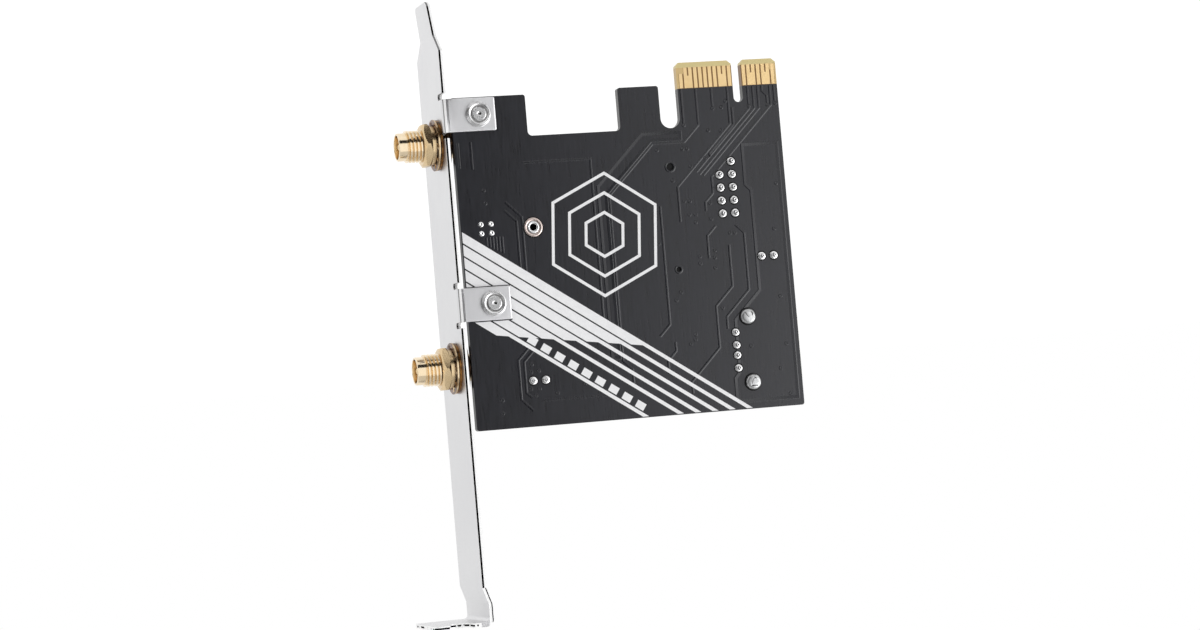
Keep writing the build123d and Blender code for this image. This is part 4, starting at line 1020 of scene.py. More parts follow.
    def build(self) -> None:
        """Dresses the board and makes its relief."""
        dress(SOLDER_MASK, "circuit_board")
        dress(CONTACT_GOLD, "edge_contacts_solder_side", "edge_contacts_part_side")
        dress(WHITE_INK, "stripe_print", "motif_print")
        Copper("solder_side", SOLDER_Y, -1, self.solder_tracks(), self.solder_pours(), self.solder_rings(),
               self.peg_bores, self.solder_gaps()).build()
        part_tracks = [[(49.8 - 1.2 * step, 14.0 + step), (20.6 + 2.0 * step, 14.0 + step)]
                       for step in range(3)]
        part_pours = [[(46.5, 46.4), (57.2, 46.4), (57.2, 67.4), (28.0, 67.4), (28.0, 56.4), (46.5, 56.4)],
                      [(-7.4, 30.6), (0.2, 30.6), (6.4, 36.8), (6.4, 45.8), (-7.4, 45.8)]]
        part_rings = [(50.0, 20.0 + 3.1 * step) for step in range(8)]
        part_rings += [(30.0 + 3.4 * step, 63.0) for step in range(6)]
        Copper("part_side", PART_Y, 1, part_tracks, part_pours, part_rings).build()


def mask_gap(mesh: Mesh, centre: Point2, radius: float, wide: float = 0.2, height: float = 0.047,
             segments: int = 32) -> None:
    """Adds the ring of bare laminate that the mask leaves round a pad.

    Args:
        mesh: The mesh that takes it.
        centre: The pad's place along x and z, in mm.
        radius: The pad's radius, in mm.
        wide: Width of the ring, in mm.
        height: Its height over the laminate, clear of the copper's relief, in mm.
        segments: Steps round it.
    """
    outer, inner = radius + wide, radius - 0.1
    outline = [(0.01, outer), (-height, outer - 0.02), (-height, inner), (0.01, inner)]
    turned(outline, (centre[0], SOLDER_Y, centre[1]), Axis.Y, segments, mesh=mesh)


@dataclass
class Joint:
    """One soldered joint: a concave fillet from the pad to the lead, with the lead's cut end.

    Attributes:
        x: Its place, in mm.
        z: Its place, in mm.
        pad: Radius at the board, in mm.
        neck: Radius at the top of the fillet, in mm.
        height: Height of the fillet, in mm.
        tip: Height of the lead's end, in mm.
        tip_radius: Radius of the tinned lead at its end, in mm.
        lumpy: How uneven the fillet is, in mm.
    """

    x: float
    z: float
    pad: float
    neck: float
    height: float
    tip: float
    tip_radius: float
    lumpy: float = 0.03

    @property
    def core_radius(self) -> float:
        """Radius of the dark core in the lead's cut end, partly painted shade."""
        return self.tip_radius * 0.5

    def add_solder(self, mesh: Mesh, draw: random.Random) -> None:
        """Adds the fillet and the tinned sides of the lead to a mesh.

        Args:
            mesh: The mesh that takes it.
            draw: The source of its unevenness.
        """
        steps, edge_height = 7, 0.15
        shoulder = self.pad - 0.08
        outline = [(0.02, self.pad), (-0.05, self.pad + 0.01), (-0.11, self.pad - 0.02),
                   (-edge_height, shoulder)]
        for index in range(1, steps + 1):
            turn = math.radians(90 * index / steps)
            radius = shoulder - (shoulder - self.neck) * math.sin(turn)
            outline.append((-self.height * (1 - math.cos(turn)) - edge_height, radius))
        tip, wide, core = self.tip, self.tip_radius, self.core_radius
        outline += [(0.07 - tip, wide + 0.02), (0.02 - tip, wide - 0.02), (-tip, wide - 0.07),
                    (-tip, core + 0.02), (0.05 - tip, core - 0.02)]
        phase, lobes = draw.uniform(0, 2 * math.pi), draw.choice((2, 3))

        def uneven(along: float, angle: float) -> float:
            """Small lobes, strongest at the foot of the fillet."""
            fade = max(0.0, 1 + along / (self.height + 0.2))
            return self.lumpy * (fade * math.sin(lobes * angle + phase) - fade)

        turned(outline, (self.x, SOLDER_Y, self.z), Axis.Y, 32, uneven, mesh)

    def add_end(self, mesh: Mesh) -> None:
        """Adds the lead's dull cut end, slightly domed, its dark grey partly painted shade.

        Args:
            mesh: The mesh that takes it.
        """
        tip, core = self.tip, self.core_radius
        outline = [(0.04 - tip, core), (0.02 - tip, core * 0.5), (0.015 - tip, 0.0)]
        turned(outline, (self.x, SOLDER_Y, self.z), Axis.Y, 16, mesh=mesh)


@dataclass
class Joints:
    """A group of soldered joints that share a piece.

    Attributes:
        name: The piece's name.
        node: The CAD node that it stands for.
        joints: The joints.
        seed: Where the draws of their unevenness start.
    """

    name: str
    node: str
    joints: Sequence[Joint]
    seed: int = 7

    def build(self) -> None:
        """Makes the joints, the leads' ends and the gaps as one piece each."""
        solder, ends, gaps = bmesh.new(), bmesh.new(), bmesh.new()
        draw = random.Random(self.seed)
        for joint in self.joints:
            joint.add_solder(solder, draw)
            joint.add_end(ends)
            mask_gap(gaps, (joint.x, joint.z), joint.pad)
        place_piece(self.name, solder, SOLDER, "solder", self.node, crease=60)
        place_piece(self.name + "_lead_ends", ends, CUT_LEAD_AND_SHADE, "solder", crease=60)
        place_piece(self.name + "_mask_gaps", gaps, MASK_GAP_AND_BORE_SHADE, "black_board")


@dataclass
class LugJoints:
    """The two broad joints that hold the lugs of the plug socket's shell.

    Attributes:
        x: Their place, in mm.
        folds: The height of each joint's middle, and the folds of its lug round that middle, in mm.
        radius: Radius of a joint, in mm.
        height: Its height over the board, in mm.
        fold_width: Width of the line along a fold, in mm.
    """

    x: float = 1.98
    folds: Sequence[tuple[float, Sequence[Profile]]] = (
        (50.43, ([(0.62, -0.80), (0.30, -0.20), (-0.02, 0.12)],
                 [(-0.60, -0.86), (-0.84, -0.42), (-0.74, -0.10)])),
        (63.27, ([(0.02, -0.62), (0.30, -0.16), (0.40, 0.34)],
                 [(0.52, 0.78), (-0.10, 0.72), (-0.62, 0.76)],
                 [(-0.10, -0.86), (-0.52, -0.66)])),
    )
    radius: float = 1.56
    height: float = 0.84
    fold_width: float = 0.22

    def add_disc(self, mesh: Mesh, z: float) -> None:
        """Adds one low, round-shouldered cake of solder.

        Args:
            mesh: The mesh that takes it.
            z: Its height on the board, in mm.
        """
        wide, high = self.radius, self.height
        outline = [(0.02, wide), (-0.25, wide + 0.01), (0.34 - high, wide - 0.04),
                   (0.16 - high, wide - 0.16), (0.07 - high, wide - 0.34), (0.04 - high, wide - 0.62),
                   (0.02 - high, 0.5), (0.02 - high, 0.0)]
        turned(outline, (self.x, SOLDER_Y, z), Axis.Y, 48, self.uneven, mesh)

    def uneven(self, along: float, angle: float) -> float:
        """Small lobes round the cake."""
        return 0.025 * math.sin(3 * angle + 0.7) + 0.015 * math.sin(5 * angle)

    def add_fold(self, mesh: Mesh, z: float, line: Profile) -> None:
        """Adds the line that one fold of the lug draws in the solder, painted dark as shade along the fold.

        Args:
            mesh: The mesh that takes it.
            z: Height of the joint's middle, in mm.
            line: The line round that middle, in mm.
        """
        top, half = SOLDER_Y - self.height + 0.005, self.fold_width / 2
        points = [(self.x + dx, z + dz) for dx, dz in line]
        bridge(mesh, [[mesh.verts.new((p.x, y, p.y)) for p in offset_line(points, side)]
                      for side, y in ((-half, top + 0.03), (0.0, top - 0.01), (half, top + 0.03))])

    def build(self) -> None:
        """Makes the joints, the lines of the folds and the gaps in the mask."""
        discs, lines, gaps = bmesh.new(), bmesh.new(), bmesh.new()
        for z, folds in self.folds:
            self.add_disc(discs, z)
            for line in folds:
                self.add_fold(lines, z, line)
            mask_gap(gaps, (self.x, z), self.radius, height=0.048, segments=40)
        place_piece("usb_lug_joints", discs, LUG_SOLDER, "solder", crease=60)
        place_piece("usb_lug_folds", lines, CUT_LEAD_AND_SHADE, "solder")
        place_piece("usb_lug_mask_gaps", gaps, MASK_GAP_AND_BORE_SHADE, "black_board")


@dataclass
class HeaderPins:
    """The header's pins, with the tapered tips that ease them into their holes.

    Attributes:
        pitch: Spacing of the pins, in mm.
        first: Place of the first pin along x and z, in mm.
        taper_y: Where the tapers start at the solder end and at the far end, in mm.
        share: Width of a tip as a share of the pin's.
        edge: Rounding of the pins' edges, in mm.
    """

    pitch: float = HEADER_PITCH
    first: Point2 = HEADER_FIRST
    taper_y: Point2 = (-1.15, 8.7)
    share: float = 0.5
    edge: float = 0.03

    def taper(self, mesh: Mesh) -> None:
        """Cuts each pin where its tapers start and draws its tips in.

        Args:
            mesh: The pins.
        """
        for y in self.taper_y:
            geometry = [*mesh.verts, *mesh.edges, *mesh.faces]
            bmesh.ops.bisect_plane(mesh, geom=geometry, plane_co=(0, y, 0), plane_no=(0, 1, 0))
        low, high = self.taper_y
        for vertex in mesh.verts:
            if low - 0.01 < vertex.co.y < high + 0.01:
                continue
            for axis, start in ((0, self.first[0]), (2, self.first[1])):
                middle = start + self.pitch * round((vertex.co[axis] - start) / self.pitch)
                vertex.co[axis] = middle + (vertex.co[axis] - middle) * self.share

    def build(self) -> None:
        """Makes the pins."""
        softened("header_pins", "header_tapered_pins", self.edge, CONTACT_GOLD, "gold_brass", 1,
                 reshape=self.taper)


@dataclass
class Pads:
    """The four tinned test pads, and the tinned ring and swaged stub of the module's standoff.

    Attributes:
        centre: Middle of the four pads, in mm.
        spacing: Their spacing along x and z, in mm.
        radius: Radius of a pad, in mm.
        ring_centre: Middle of the standoff, in mm.
        ring_radius: Radius of its tinned ring, in mm.
        stub_radius: Radius of its stub, in mm.
        bore_radius: Radius of the bore through it, in mm.
        thick: How far the tin stands off the board, in mm.
    """

    centre: Point2 = (52.98, 30.07)
    spacing: Point2 = (1.97, 1.74)
    radius: float = 0.5
    ring_centre: Point2 = (43.7, 30.33)
    ring_radius: float = 1.85
    stub_radius: float = 1.15
    bore_radius: float = 0.675
    thick: float = 0.1

    def build(self) -> None:
        """Makes the pads, the ring and the thread in the bore, painted dark as shade."""
        pads = bmesh.new()
        dome = [(0.01, self.radius), (-0.05, self.radius - 0.01), (-self.thick + 0.01, self.radius - 0.10),
                (-self.thick, 0.22), (-self.thick + 0.045, 0.13), (-self.thick + 0.05, 0.0)]
        for side_x in (-0.5, 0.5):
            for side_z in (-0.5, 0.5):
                x, z = (c + s * pitch for c, s, pitch in zip(self.centre, (side_x, side_z), self.spacing))
                turned(dome, (x, SOLDER_Y, z), Axis.Y, 28, mesh=pads)
        place_piece("test_pads", pads, SOLDER, "solder", "tinned_pads", crease=50)
        centre = (self.ring_centre[0], SOLDER_Y, self.ring_centre[1])
        outer, stub, bore, thick = self.ring_radius, self.stub_radius, self.bore_radius, self.thick
        ring = turned([(0.01, outer), (-0.06, outer - 0.02), (-thick, outer - 0.14),
                       (0.03 - thick, stub + 0.22), (-0.02, stub + 0.10), (0.01, stub + 0.08)],
                      centre, Axis.Y, 48)
        place_piece("standoff_ring", ring, WARM_TIN, "solder", crease=50)
        lip = turned([(0.2, stub - 0.02), (-thick + 0.02, stub), (-thick - 0.02, stub - 0.06),
                      (-thick - 0.02, bore + 0.16), (-thick + 0.06, bore + 0.02), (0.3, bore + 0.01)],
                     centre, Axis.Y, 48)
        place_piece("standoff_swaged_lip", lip, SOLDER, "tin_plate", crease=50)
        pitch, depth = 0.4, 0.08
        ribs = [(0.02 + pitch / 2 * step, bore - (depth if step % 2 else 0.0)) for step in range(9)]
        thread = turned(ribs + [(ribs[-1][0], 0.0)], centre, Axis.Y, 40)
        place_piece("standoff_bore_thread", thread, SHADE_DARK_STEEL, "tin_plate", crease=20)
        gap = bmesh.new()
        mask_gap(gap, self.ring_centre, outer, 0.22, segments=48)
        place_piece("standoff_mask_gap", gap, MASK_GAP_AND_BORE_SHADE, "black_board")
        dress(TIN_PLATE, "module_standoff")


# Antenna ports


class Place(Enum):
    """Which of two like pieces: by its height, or by its distance from the bracket."""

    LOWER = "lower"
    UPPER = "upper"
    NEAR = "near"
    FAR = "far"


@dataclass
class AntennaPort:
    """A turned, gold-plated antenna port with its washers and nut.

    Attributes:
        place: Which of the two ports it is.
        z: Height of its axis, in mm.
        y: The axis's distance from the board's middle, in mm.
        boss_x: Where the round boss behind the flange starts, in mm.
        boss_radius: The boss's radius, in mm.
        flange_x: Where the flange starts, in mm.
        inner_x: Where the flange meets the sheet, in mm.
        flange_flats: Width of the flange across its flats, in mm.
        thread_x: Where the thread starts, in mm.
        thread_radius: Radius of the thread's crests, in mm.
        thread_pitch: The thread's pitch, in mm.
        thread_depth: Its depth, in mm.
        thread_shape: Shares of the pitch along, and of the depth down, at the corners of one turn.
        lead_x: Where the thread ends and the plain lead starts, in mm.
        lead_radius: The lead's radius, in mm.
        lead_round: Rounding of its outer edge, in mm.
        tip_x: Where the port ends, in mm.
        bore_radius: Radius of the open bore, in mm.
        bore_depth: Depth of the bore down to its floor, in mm.
        sleeve_radius: Radius of the narrower bore round the dielectric, in mm.
        sleeve_depth: Its depth, in mm.
        stub_radius: Radius of the rear stub, in mm.
        stub_length: Length of the stub, in mm.
        boss_edge: Chamfer of the boss's rear edge, in mm.
        nut_edge: Rounding of the edges of the nut and the flat washer, in mm.
        washer_edge: Rounding of the edges of the lock washer and the ferrule, in mm.
        segments: Steps round the body.
    """

    place: Place
    z: float
    y: float = 4.0
    boss_x: float = 55.65
    boss_radius: float = 2.6
    flange_x: float = 58.05
    inner_x: float = 59.05
    flange_flats: float = 8.0
    thread_x: float = 60.4
    thread_radius: float = 3.1
    thread_pitch: float = 0.7056
    thread_depth: float = 0.38
    thread_shape: Profile = ((0.0, 0.0), (0.42, 0.0), (0.70, 1.0), (0.76, 1.0))
    lead_x: float = 66.41
    lead_radius: float = 2.7
    lead_round: float = 0.22
    tip_x: float = 68.11
    bore_radius: float = 2.3
    bore_depth: float = 2.4
    sleeve_radius: float = 2.0
    sleeve_depth: float = 3.0
    stub_radius: float = 0.9
    stub_length: float = 5.0
    boss_edge: float = 0.15
    nut_edge: float = 0.09
    washer_edge: float = 0.06
    segments: int = 72

    def rear_profile(self) -> list[Point2]:
        """The outline from the rear stub to the start of the thread."""
        back = self.boss_x - self.stub_length
        return [(back, 0.0), (back, self.stub_radius), (self.boss_x, self.stub_radius),
                (self.boss_x, self.boss_radius - self.boss_edge),
                (self.boss_x + self.boss_edge, self.boss_radius),
                (self.flange_x + 0.02, self.boss_radius), (self.thread_x - 0.01, self.boss_radius + 0.2),
                (self.thread_x - 0.01, self.thread_radius)]

    def front_profile(self) -> list[Point2]:
        """The outline from the end of the thread round the lead to the bottom of the bore.

        Returns:
            Points as distance along the axis and radius, in mm.
        """
        edge, lip = self.lead_round, 0.1
        outline = [(self.lead_x, self.thread_radius), (self.lead_x, self.lead_radius)]
        outline += arc((self.tip_x - edge, self.lead_radius - edge), edge, 90, 0, 6)
        outline += arc((self.tip_x - lip, self.bore_radius + lip), lip, 0, -90, 4)
        floor_x, sleeve = self.tip_x - self.bore_depth, self.sleeve_radius + 0.01
        return outline + [(floor_x, self.bore_radius), (floor_x, sleeve),
                          (floor_x - self.sleeve_depth, sleeve)]

    def add_thread(self, mesh: Mesh) -> None:
        """Winds the thread as one spiral band between its two ends.

        Args:
            mesh: The mesh that takes it.
        """
        turns = math.ceil((self.lead_x - self.thread_x) / self.thread_pitch) + 1
        columns = []
        for step in range(self.segments):
            angle = 2 * math.pi * step / self.segments
            column = []
            for turn in range(-1, turns + 1):
                for phase, dip in self.thread_shape:
                    x = self.thread_x + self.thread_pitch * (turn + phase + step / self.segments)
                    x = min(max(x, self.thread_x), self.lead_x)
                    fade = min(1.0, (x - self.thread_x) / 0.1, (self.lead_x - x) / 0.15)
                    reach = self.thread_radius - self.thread_depth * dip * fade
                    place = (x, self.y + reach * math.cos(angle), self.z + reach * math.sin(angle))
                    column.append(mesh.verts.new(place))
            columns.append(column)
        bridge(mesh, [*columns, columns[0][len(self.thread_shape):]])
        bmesh.ops.remove_doubles(mesh, verts=mesh.verts, dist=0.0005)

    def build_flange(self, name: str) -> None:
        """Makes the hexagonal flange behind the sheet, painted dark as shade.

        Args:
            name: The piece's name.
        """
        corner, edge = self.flange_flats / 2 / math.cos(math.radians(30)), 0.12
        chamfer = corner - 0.18
        back, front, boss = self.flange_x, self.inner_x, self.boss_radius
        outline = [(back, boss - 0.1), (back, chamfer), (back + edge, corner), (front - edge, corner),
                   (front, chamfer), (front, boss)]
        flange = turned(outline, (0.0, self.y, self.z), Axis.X, 6)
        place_piece(name, flange, SHADED_FLANGE_BRASS, "gold_brass", crease=10)

    def build(self) -> None:
        """Makes the threaded body and dresses or softens the pieces on it."""
        start = "antenna_port_" + self.place.value
        centre = (0.0, self.y, self.z)
        mesh = bmesh.new()
        self.add_thread(mesh)
        turned(self.rear_profile(), centre, Axis.X, self.segments, mesh=mesh)
        turned(self.front_profile(), centre, Axis.X, self.segments, mesh=mesh)
        self.build_flange(start + "_flange")
        place_piece(start + "_threaded_body", mesh, PORT_GOLD, "gold_brass", start + "_body", crease=38)
        for node, name, width, finish in (("nut", "hex_nut", self.nut_edge, NUT_GOLD),
                                          ("flat_washer", "plain_washer", self.nut_edge, SHADED_WASHER_BRASS),
                                          ("lock_washer", "toothed_washer", self.washer_edge, WASHER_BRASS),
                                          ("ferrule", "crimp_sleeve", self.washer_edge, PORT_GOLD)):
            softened(f"{start}_{node}", f"{start}_{name}", width, finish, "gold_brass")
        dress(WHITE_POLYMER, start + "_dielectric")
        dress(CONTACT_GOLD, start + "_centre_pin")


# Bracket and screws


@dataclass
class BoardScrew:
    """A screw that holds the board to one ear: its head, its shank and its dimpled tip.

    Attributes:
        place: Which of the two screws it is.
        x: Its place, in mm.
        z: Its place, in mm.
        tip_y: Where its tip ends, flush with the ear's collar, in mm.
        radius: Radius of its thread, in mm.
        pitch: Pitch of its thread, in mm.
        depth: Depth of its thread, in mm.
        thread_start: Where the thread starts above its tip, in mm.
        thread_end: Where it ends in the collar, in mm.
        edge: Rounding of the head's edges, in mm.
        wander: How far the turned rings of the tip wander, in mm.
        dent: Radius of the dent beside the middle of the tip, a disc painted dark as its shade, in mm.
        dent_off: How far the dent lies off the middle, in mm.
    """

    place: Place
    z: float
    x: float = EAR_X
    tip_y: float = COLLAR_Y
    radius: float = 1.45
    pitch: float = 0.5
    depth: float = 0.22
    thread_start: float = 0.12
    thread_end: float = 0.78
    edge: float = 0.06
    wander: float = 0.05
    dent: float = 0.24
    dent_off: float = 0.22

    def thread(self, along: float, angle: float) -> float:
        """How far the thread, or a wandering ring of the tip, departs from the radius at a place.

        Args:
            along: Distance from the tip, in mm.
            angle: The angle round the axis.

        Returns:
            What is added to the radius, in mm.
        """
        phase = (along / self.pitch - angle / (2 * math.pi)) % 1.0
        if self.thread_start <= along <= self.thread_end:
            return -self.depth * abs(2 * phase - 1)
        ring = math.sin(2 * angle + 1.1) + 0.6 * math.sin(3 * angle)
        return self.wander * ring if along < self.thread_start - 0.01 else 0.0

    def build(self) -> None:
        """Makes the screw and its tip."""
        name = "board_screw_" + self.place.value
        softened("bracket_screw_" + self.place.value, name, self.edge, SCREW_STEEL, "screw_steel")
        rim = self.radius
        outline = [(0.8, rim - 0.1)] + [(self.thread_end - 0.06 * step, rim) for step in range(12)]
        outline += [(0.05, rim - 0.10), (0.01, rim - 0.24), (0.02, rim - 0.42), (0.05, rim - 0.60),
                    (0.03, 0.66), (0.01, 0.54), (0.03, 0.40), (0.10, 0.26), (0.24, 0.12), (0.26, 0.0)]
        tip = turned(outline, (self.x, self.tip_y, self.z), Axis.Y, 56, self.thread)
        place_piece(name + "_tip", tip, SCREW_STEEL, "screw_steel", crease=40)
        # A dark disc deep in the gap round the tip, painted shade.
        root = [(0.60, rim + 0.05), (0.62, rim + 0.02), (0.62, 0.0)]
        shadow = turned(root, (self.x, self.tip_y, self.z), Axis.Y, 40)
        place_piece(name + "_root", shadow, SHADE_DARK_STEEL, "screw_steel")
        # The dent's dark disc is painted shade.
        middle = (self.x - self.dent_off, self.tip_y, self.z + 0.3 * self.dent_off)
        dent = turned([(0.12, self.dent), (0.045, 0.8 * self.dent), (0.05, 0.0)], middle, Axis.Y, 20)
        place_piece(name + "_dent", dent, SHADE_DARK_STEEL, "screw_steel")


@dataclass
class Bracket:
    """The folded bracket.

    Attributes:
        edge: Rounding that punching leaves on the sheet's edges, in mm.
        ears: Middle of each ear's collar along x and z, in mm.
        rim_y: Where the collars end, in mm.
        collar_radius: Outer radius of a collar, in mm.
        groove_radius: Radius of the groove between a collar's lip and its screw, in mm.
        foot: Height of a collar over its ear, in mm.
        foot_spread: Width of the rounded foot that drawing leaves, in mm.
        sink: How far the flat rim is drawn back under the lip, in mm.
        ear_y: The ears' outer face, in mm.
        ear_root: The x where the ears bend, in mm.
        ear_round: Width of the roll-over round an ear's outline, in mm.
        ear_fall: How far the roll-over falls, in mm.
        ear_clear: How far from a collar's middle that outline stands at least, in mm.
    """

    edge: float = 0.13
    ears: Sequence[Point2] = tuple((EAR_X, ear_z) for ear_z in EAR_Z)
    rim_y: float = COLLAR_Y
    collar_radius: float = 2.3
    groove_radius: float = 1.60
    foot: float = 0.75
    foot_spread: float = 0.16
    sink: float = 0.14
    ear_y: float = -1.66
    ear_root: float = 58.6
    ear_round: float = 0.28
    ear_fall: float = 0.11
    ear_clear: float = 2.6

    def on_outline(self, edge: bmesh.types.BMEdge) -> bool:
        """Whether an edge runs round the outer face of an ear.

        Args:
            edge: The edge.

        Returns:
            True for an edge of an ear's outline, and False for one of its collar too.
        """
        flat = all(abs(vertex.co.y - self.ear_y) < TOUCH for vertex in edge.verts)
        if not flat or len(edge.link_faces) != 2 or edge.calc_face_angle(0.0) < 1.0:
            return False
        middle = (edge.verts[0].co + edge.verts[1].co) / 2
        return all(math.hypot(middle.x - x, middle.z - z) > self.ear_clear for x, z in self.ears)

    def shape_ears(self, mesh: Mesh) -> None:
        """Rolls the ears' outlines over and draws the flat rims back under the rounded lips.

        Args:
            mesh: The bracket.
        """
        for vertex in mesh.verts:
            if vertex.co.y < self.rim_y + TOUCH:
                vertex.co.y += self.sink
        mesh.normal_update()
        faces = [face for face in mesh.faces if abs(face.calc_center_median().y - self.ear_y) < TOUCH
                 and abs(face.normal.y) > 0.99]
        bmesh.ops.inset_region(mesh, faces=faces, thickness=self.ear_round, use_even_offset=True)
        rim = {vertex for edge in mesh.edges if self.on_outline(edge) for vertex in edge.verts}
        for vertex in rim:
            if vertex.co.x < self.ear_root:
                vertex.co.y += self.ear_fall

    def build(self) -> None:
        """Makes the bracket, the rounded lips of its collars and the floors of their grooves, painted grey as
        shade.
        """
        softened("bracket", "bracket_plate", self.edge, BRACKET_STEEL, "plated_steel",
                 reshape=self.shape_ears)
        lips, grooves = bmesh.new(), bmesh.new()
        wide, groove, spread = self.collar_radius, self.groove_radius, self.foot_spread
        for x, z in self.ears:
            foot = arc((self.foot - spread, wide + spread + 0.01), spread, 0, -90, 6)
            lip = foot + [(0.18, wide + 0.01), (0.07, wide - 0.05), (0.01, wide - 0.15), (0.0, wide - 0.28),
                          (0.02, wide - 0.40), (0.08, wide - 0.50), (self.sink - 0.03, groove + 0.10)]
            turned(lip, (x, self.rim_y, z), Axis.Y, 56, mesh=lips)
            floor = [(self.sink - 0.035, groove + 0.11), (self.sink - 0.02, groove),
                     (self.sink - 0.03, groove - 0.12)]
            turned(floor, (x, self.rim_y, z), Axis.Y, 56, mesh=grooves)
        place_piece("collar_lips", lips, SCREW_STEEL, "plated_steel", crease=50)
        place_piece("collar_groove_painted_shade", grooves, GROOVE_SHADE_STEEL, "plated_steel", crease=50)


# Part side


@dataclass
class PartSide:
    """Everything that stands on the hidden side of the board.

    Attributes:
        broad_edge: Rounding of the edges of the module's socket and shield and the inductor, in mm.
        plain_edge: Rounding of the edges of the header and the plug socket, in mm.
        fine_edge: Rounding of the edges of the module's screw and the regulator, in mm.
    """

    broad_edge: float = 0.08
    plain_edge: float = 0.06
    fine_edge: float = 0.05

    def build(self) -> None:
        """Dresses and softens the parts."""
        softened("module_socket", "module_socket_housing", self.broad_edge, BLACK_NYLON, "black_plastic")
        dress(TIN_PLATE, "module_socket_tails", "regulator_leads", "inductor_feet", "chip_ends",
              "capacitor_far_leads", "capacitor_near_leads")
        dress(MODULE_MASK, "module_board")
        softened("module_shield", "module_shield_can", self.broad_edge, SHIELD_STEEL, "shield_steel")
        dress(CONTACT_GOLD, "module_jacks", "usb_contacts")
        softened("module_screw", "module_fixing_screw", self.fine_edge, SCREW_STEEL, "screw_steel")
        softened("header_base", "header_moulding", self.plain_edge, BLACK_NYLON, "black_plastic")
        softened("usb_shell", "usb_folded_shell", self.plain_edge, SHIELD_STEEL, "shield_steel")
        softened("usb_insulator", "usb_tongue_moulding", self.plain_edge, BLACK_NYLON, "black_plastic")
        dress(TAN_CERAMIC, "chip_capacitors")
        dress(DARK_CERAMIC, "chip_resistors")
        softened("regulator", "regulator_moulding", self.fine_edge, CHIP_EPOXY, "chip_plastic")
        softened("inductor", "inductor_block", self.broad_edge, FERRITE, "ferrite")
        for place in (Place.FAR, Place.NEAR):
            dress(CAN_ALUMINIUM, f"capacitor_{place.value}_can")
            dress(RUBBER, f"capacitor_{place.value}_bung")


# Studio


def rectangle(low: Point3, high: Point3) -> list[Sequence[float]]:
    """Corners of a rectangle between two opposite corners that share one coordinate.

    Args:
        low: The corner with the lower numbers.
        high: The corner with the higher ones.

    Returns:
        The four corners in order.
    """
    across = 1 if low[0] == high[0] else 0
    second = [high[axis] if axis == across else low[axis] for axis in range(3)]
    fourth = [low[axis] if axis == across else high[axis] for axis in range(3)]
    return [low, second, high, fourth]


@dataclass(frozen=True)
class Card:
    """A studio card that only reflections meet.

    Attributes:
        name: Its name.
        corners: Its four corners, in m.
        start: Its brightness in red, green and blue where x is least.
        end: Its brightness where x is greatest, if it differs.
        turn: The shares of its width between which it goes from one to the other.
    """

    name: str
    corners: Sequence[Sequence[float]]
    start: Point3
    end: Optional[Point3] = None
    turn: Point2 = (0.0, 1.0)

    def paint(self) -> bpy.types.Material:
        """Makes a paint that glows by itself.

        Returns:
            The paint.
        """
        made = bpy.data.materials.new(self.name + "_paint")
        made.use_nodes = True
        tree = made.node_tree
        tree.nodes.remove(tree.nodes["Principled BSDF"])
        along = add_node(tree, SPLIT, (add_node(tree, "ShaderNodeTexCoord"),))
        low, high = self.turn
        share = add_node(tree, RANGE, {"Value": along, "From Min": low, "From Max": high},
                         interpolation_type="SMOOTHSTEP")
        first, last = ((*level, 1.0) for level in (self.start, self.end or self.start))
        tone = add_node(tree, MIX, (share, first, last))
        glow = add_node(tree, "ShaderNodeEmission", {"Color": tone, "Strength": 1.0})
        tree.links.new(glow.outputs[0], tree.nodes["Material Output"].inputs["Surface"])
        return made


@dataclass(frozen=True)
class Lamp:
    """A soft square lamp, whose face the studio cards show to reflections.

    Attributes:
        name: Its name.
        at: Where it stands, in m.
        size: Its side, in m.
        power: Its power, in W.
        aim: What it points at, in m.
    """

    name: str
    at: Point3
    size: float
    power: float
    aim: Point3 = (0.03, 0.0, 0.04)

    def build(self) -> None:
        """Sets up the lamp."""
        data = bpy.data.lights.new(self.name, "AREA")
        data.size = self.size
        data.energy = self.power
        made = bpy.data.objects.new(self.name, data)
        made.location = self.at
        made.rotation_euler = (Vector(self.at) - Vector(self.aim)).to_track_quat("Z", "Y").to_euler()
        made.visible_glossy = False
        bpy.context.scene.collection.objects.link(made)


